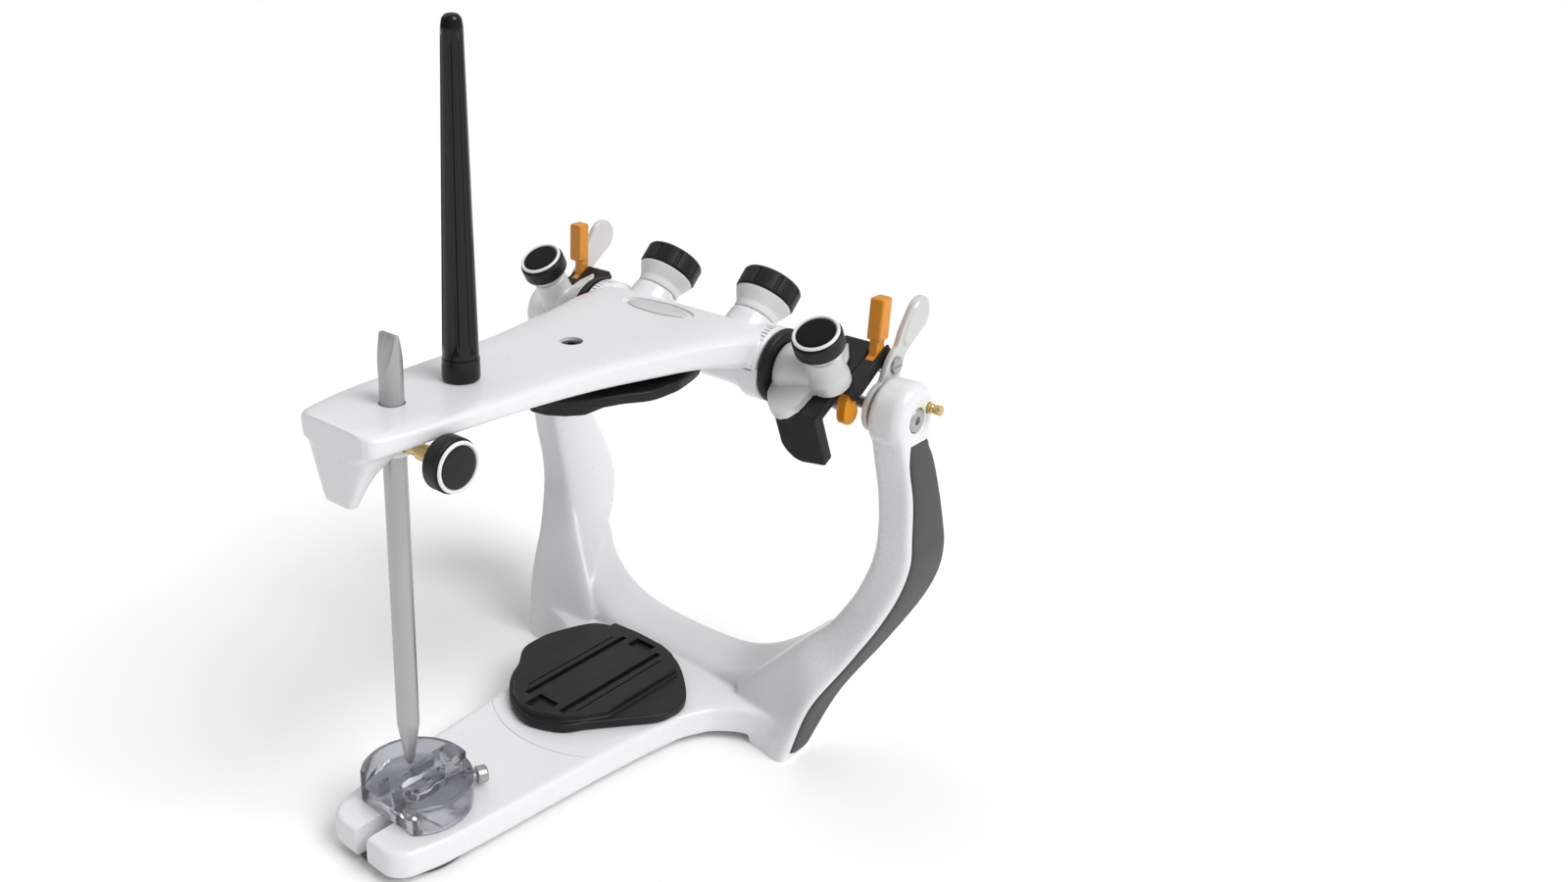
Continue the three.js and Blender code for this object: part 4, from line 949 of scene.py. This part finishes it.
# y and z from the condylar axis, and half width, along the lever and along the pad at its end
LEVER_PATH = [(0, 0, 8.2), (3, 4.4, 5.0), (6.9, 12.5, 4.7), (9.6, 16.6, 3.4), (13.4, 21.6, 4.8),
              (18.4, 26.6, 6.2)]
LEVER_PAD = [(12.6, 20.6, 2.8), (15, 23.4, 4.0), (18.3, 26.5, 5.2)]


def latch_lever():
    x0, thick = 67.5, 2.0
    plate = []
    for y, z, r in spline(LEVER_PATH, 70, closed=False):
        plate.append(rod_x(r, x0, x0 + thick, CONDYLE[0] + y, CONDYLE[1] + z, 0.25, 48))
    for y, z, r in spline(LEVER_PAD, 16, closed=False):
        plate.append(rod_x(r, x0 + 1, x0 + thick + 0.7, CONDYLE[0] + y, CONDYLE[1] + z, 0.25, 48))
    lever = fused("lever", plate, 0.3, 2)
    carved(lever, rod_x(2.3, 60, 80, *CONDYLE), rod_x(1.8, 60, 80, CONDYLE[0] + 6.9, CONDYLE[1] + 12.5))
    dress_pair(lever, "steel_lever", "lever", "silver_paint", KIT["silver"], "latch_lever")
    at = (0, CONDYLE[0] + 6.9, CONDYLE[1] + 12.5)
    profile = [(0, 67.5), (1.5, 67.5), (1.5, 69.8), (2.9, 69.8), (2.9, 70.2), (2.3, 70.45), (0, 70.45)]
    screw = make("rivet", aimed(lathe(profile, 0.1), at, (1, 0, 0)))
    carved(screw, shifted(block(70.1, 72, -4, 4, -0.4, 0.4), 0, at[1], at[2]))
    dress_pair(screw, "lever_rivet", "lever", "steel", KIT["steel"], "lever_screw")


# ---------------------------------------------------------------- incisal table
def clipped(outline, x0, x1):
    """The part of a convex outline between two x values."""
    for side, limit in ((1, x0), (-1, x1)):
        kept = []
        for i, point in enumerate(outline):
            after = outline[(i + 1) % len(outline)]
            inside = side * (point[0] - limit) >= 0
            if inside:
                kept.append(point)
            if inside != (side * (after[0] - limit) >= 0):
                share = (limit - point[0]) / (after[0] - point[0])
                kept.append((limit, point[1] + share * (after[1] - point[1])))
        outline = kept
    return outline


def table_bore(radius, x0, x1, low):
    """A round bore between two x values, open upwards from a height."""
    return prism(clipped(circle(radius, 0, TABLE_Y, 96), x0, x1), low, 40)


def table_outline():
    """A circle cut off straight at the front."""
    angles = [math.radians(-46 + 272 * i / 96) for i in range(97)]
    return [(TABLE_R * math.cos(t), TABLE_Y + TABLE_R * math.sin(t)) for t in angles]


# where the side screw enters the table
SIDE_SCREW = Matrix.Translation((7.4, 19.4, 17.4)) @ Matrix.Rotation(math.radians(66), 4, "Z")


def incisal_table():
    """Smoky clear block: high on the left, stepped lower on the right, slotted down the middle."""
    table = make("acrylic_table", prism(rounded(table_outline(), 1.0, 3), TABLE_FLOOR, 25.2, 0.5))
    carved(table, table_bore(16.4, -40, -3.6, 19.4), table_bore(30, 3.6, 40, 22.4),
           table_bore(15.6, 3.6, 40, 20.6), rod_z(9.6, 19.2, 40, 0, TABLE_Y))
    island = rod_z(5.2, 16, 21.6, 0, TABLE_Y, 0.3)
    bar = block(-4, 4, TABLE_Y, TABLE_Y + 15, 16, 23.8, 0.3)
    welded(table, fused("island", [island, bar], 0.4, 1))
    hole = aimed(lathe([(0, -9), (1.6, -9), (1.6, 3), (0, 3)], 0), (0, 0, 0), (1, 0, 0))
    slot = block(-2.4, 2.4, -20, TABLE_Y + 9, 18.6, 40)
    carved(table, slot, rod_z(2.5, 10, 17.2, 0, 0), moved(hole, SIDE_SCREW))
    bevel = table.modifiers.new("edges", "BEVEL")
    bevel.width = 0.25 * MM
    bevel.segments = 2
    bevel.limit_method = "ANGLE"
    bevel.angle_limit = math.radians(40)
    settle(table)
    dress(table, "table", "smoke_clear", KIT["smoke"], "incisal_table")


def table_fasteners():
    profile = [(0, -8.6), (1.3, -8.6), (1.3, 1.2), (2.7, 1.2), (2.9, 1.6), (2.9, 4.4), (2.4, 4.9), (0, 4.9)]
    along_x = aimed(lathe(profile, 0.25), (0, 0, 0), (1, 0, 0))
    thumb = make("table_thumb_screw", moved(along_x, SIDE_SCREW))
    dress(thumb, "table_side_screw", "steel", KIT["steel"], "table_screw")
    nut_profile = [(0, 0), (17.6, 0), (18.4, 0.5), (18.4, 2.3), (18.0, 2.7), (0, 2.7)]
    nut = make("rubber_foot_nut", lathe(nut_profile, 0.4, 96))
    carved(nut, rod_z(2.5, 1.0, 10, 0, 0))
    dress(nut, "table_nut", "grip_rubber", KIT["rubber"], "table_clamp_nut")
    bolt = make("clamp_bolt", rod_z(2.2, 1.3, 16.9, 0, 0, 0.3))
    dress(bolt, "table", "steel", KIT["steel"], "table_clamp_bolt")


# ---------------------------------------------------------------- stage, light, camera
def sun(name, toward, strength, spread):
    """A soft distant light shining from the given direction."""
    lamp = bpy.data.lights.new(name, "SUN")
    lamp.energy = strength
    lamp.angle = math.radians(spread)
    obj = bpy.data.objects.new(name, lamp)
    bpy.context.scene.collection.objects.link(obj)
    obj.rotation_euler = Vector(toward).to_track_quat("Z", "Y").to_euler()


def set_stage():
    corners = [(-9000, -9000, -0.05), (9000, -9000, -0.05), (9000, 9000, -0.05), (-9000, 9000, -0.05)]
    floor = make("floor", (corners, [(0, 1, 2, 3)]))
    pale = finish_material("pale_floor", (0.985, 0.985, 0.985), (0.97, 0.97, 0.97), 0.6, 0.05, 300, 2.0, 0.01)
    floor.data.materials.append(pale)
    set_world()
    sun("key", (0.8, 0.1, 1.0), KEY_STRENGTH, 35)
    sun("fill", (-0.6, 0.2, 1.0), FILL_STRENGTH, 70)


def set_world():
    """White surroundings, brighter towards one side."""
    world = bpy.data.worlds.new("studio")
    bpy.context.scene.world = world
    world.use_nodes = True
    tree = world.node_tree
    direction = tree.nodes.new("ShaderNodeTexCoord")
    toward = tree.nodes.new("ShaderNodeVectorMath")
    toward.operation = "DOT_PRODUCT"
    toward.inputs[1].default_value = BRIGHT_SIDE
    strength = tree.nodes.new("ShaderNodeMapRange")
    strength.inputs["From Min"].default_value = -1.0
    strength.inputs["From Max"].default_value = 1.0
    strength.inputs["To Min"].default_value = WORLD_DARK
    strength.inputs["To Max"].default_value = WORLD_BRIGHT
    tree.links.new(direction.outputs["Generated"], toward.inputs[0])
    tree.links.new(toward.outputs["Value"], strength.inputs["Value"])
    tree.links.new(strength.outputs["Result"], tree.nodes["Background"].inputs["Strength"])
    tree.nodes["Background"].inputs["Color"].default_value = (1, 1, 1, 1)


def set_camera():
    level = math.cos(CAMERA_ELEVATION)
    back = Vector((math.sin(CAMERA_AZIMUTH) * level, -math.cos(CAMERA_AZIMUTH) * level,
                   math.sin(CAMERA_ELEVATION)))
    right = Vector((math.cos(CAMERA_AZIMUTH), math.sin(CAMERA_AZIMUTH), 0))
    up = back.cross(right)
    camera = bpy.data.cameras.new("camera")
    camera.lens = CAMERA_LENS
    camera.sensor_width = 36.0
    camera.shift_x, camera.shift_y = CAMERA_SHIFT
    camera.clip_start = 0.01
    obj = bpy.data.objects.new("camera", camera)
    bpy.context.scene.collection.objects.link(obj)
    turn = Matrix((right, up, back)).transposed().to_4x4()
    obj.matrix_world = Matrix.Translation(CAMERA_PLACE) @ turn
    bpy.context.scene.camera = obj
    bpy.context.scene.view_settings.view_transform = "Standard"


set_camera()
set_stage()
lower_frame()
grips()
condyle_parts()
plates()
upper_frame()
barrel_scale()
oval_badge()
support_post()
incisal_pin()
pin_screw()
rear_knobs()
carrier_shaft()
clamp_bracket()
bennett_knob()
condylar_guide()
centric_lock()
lock_cover()
latch_lever()
incisal_table()
table_fasteners()
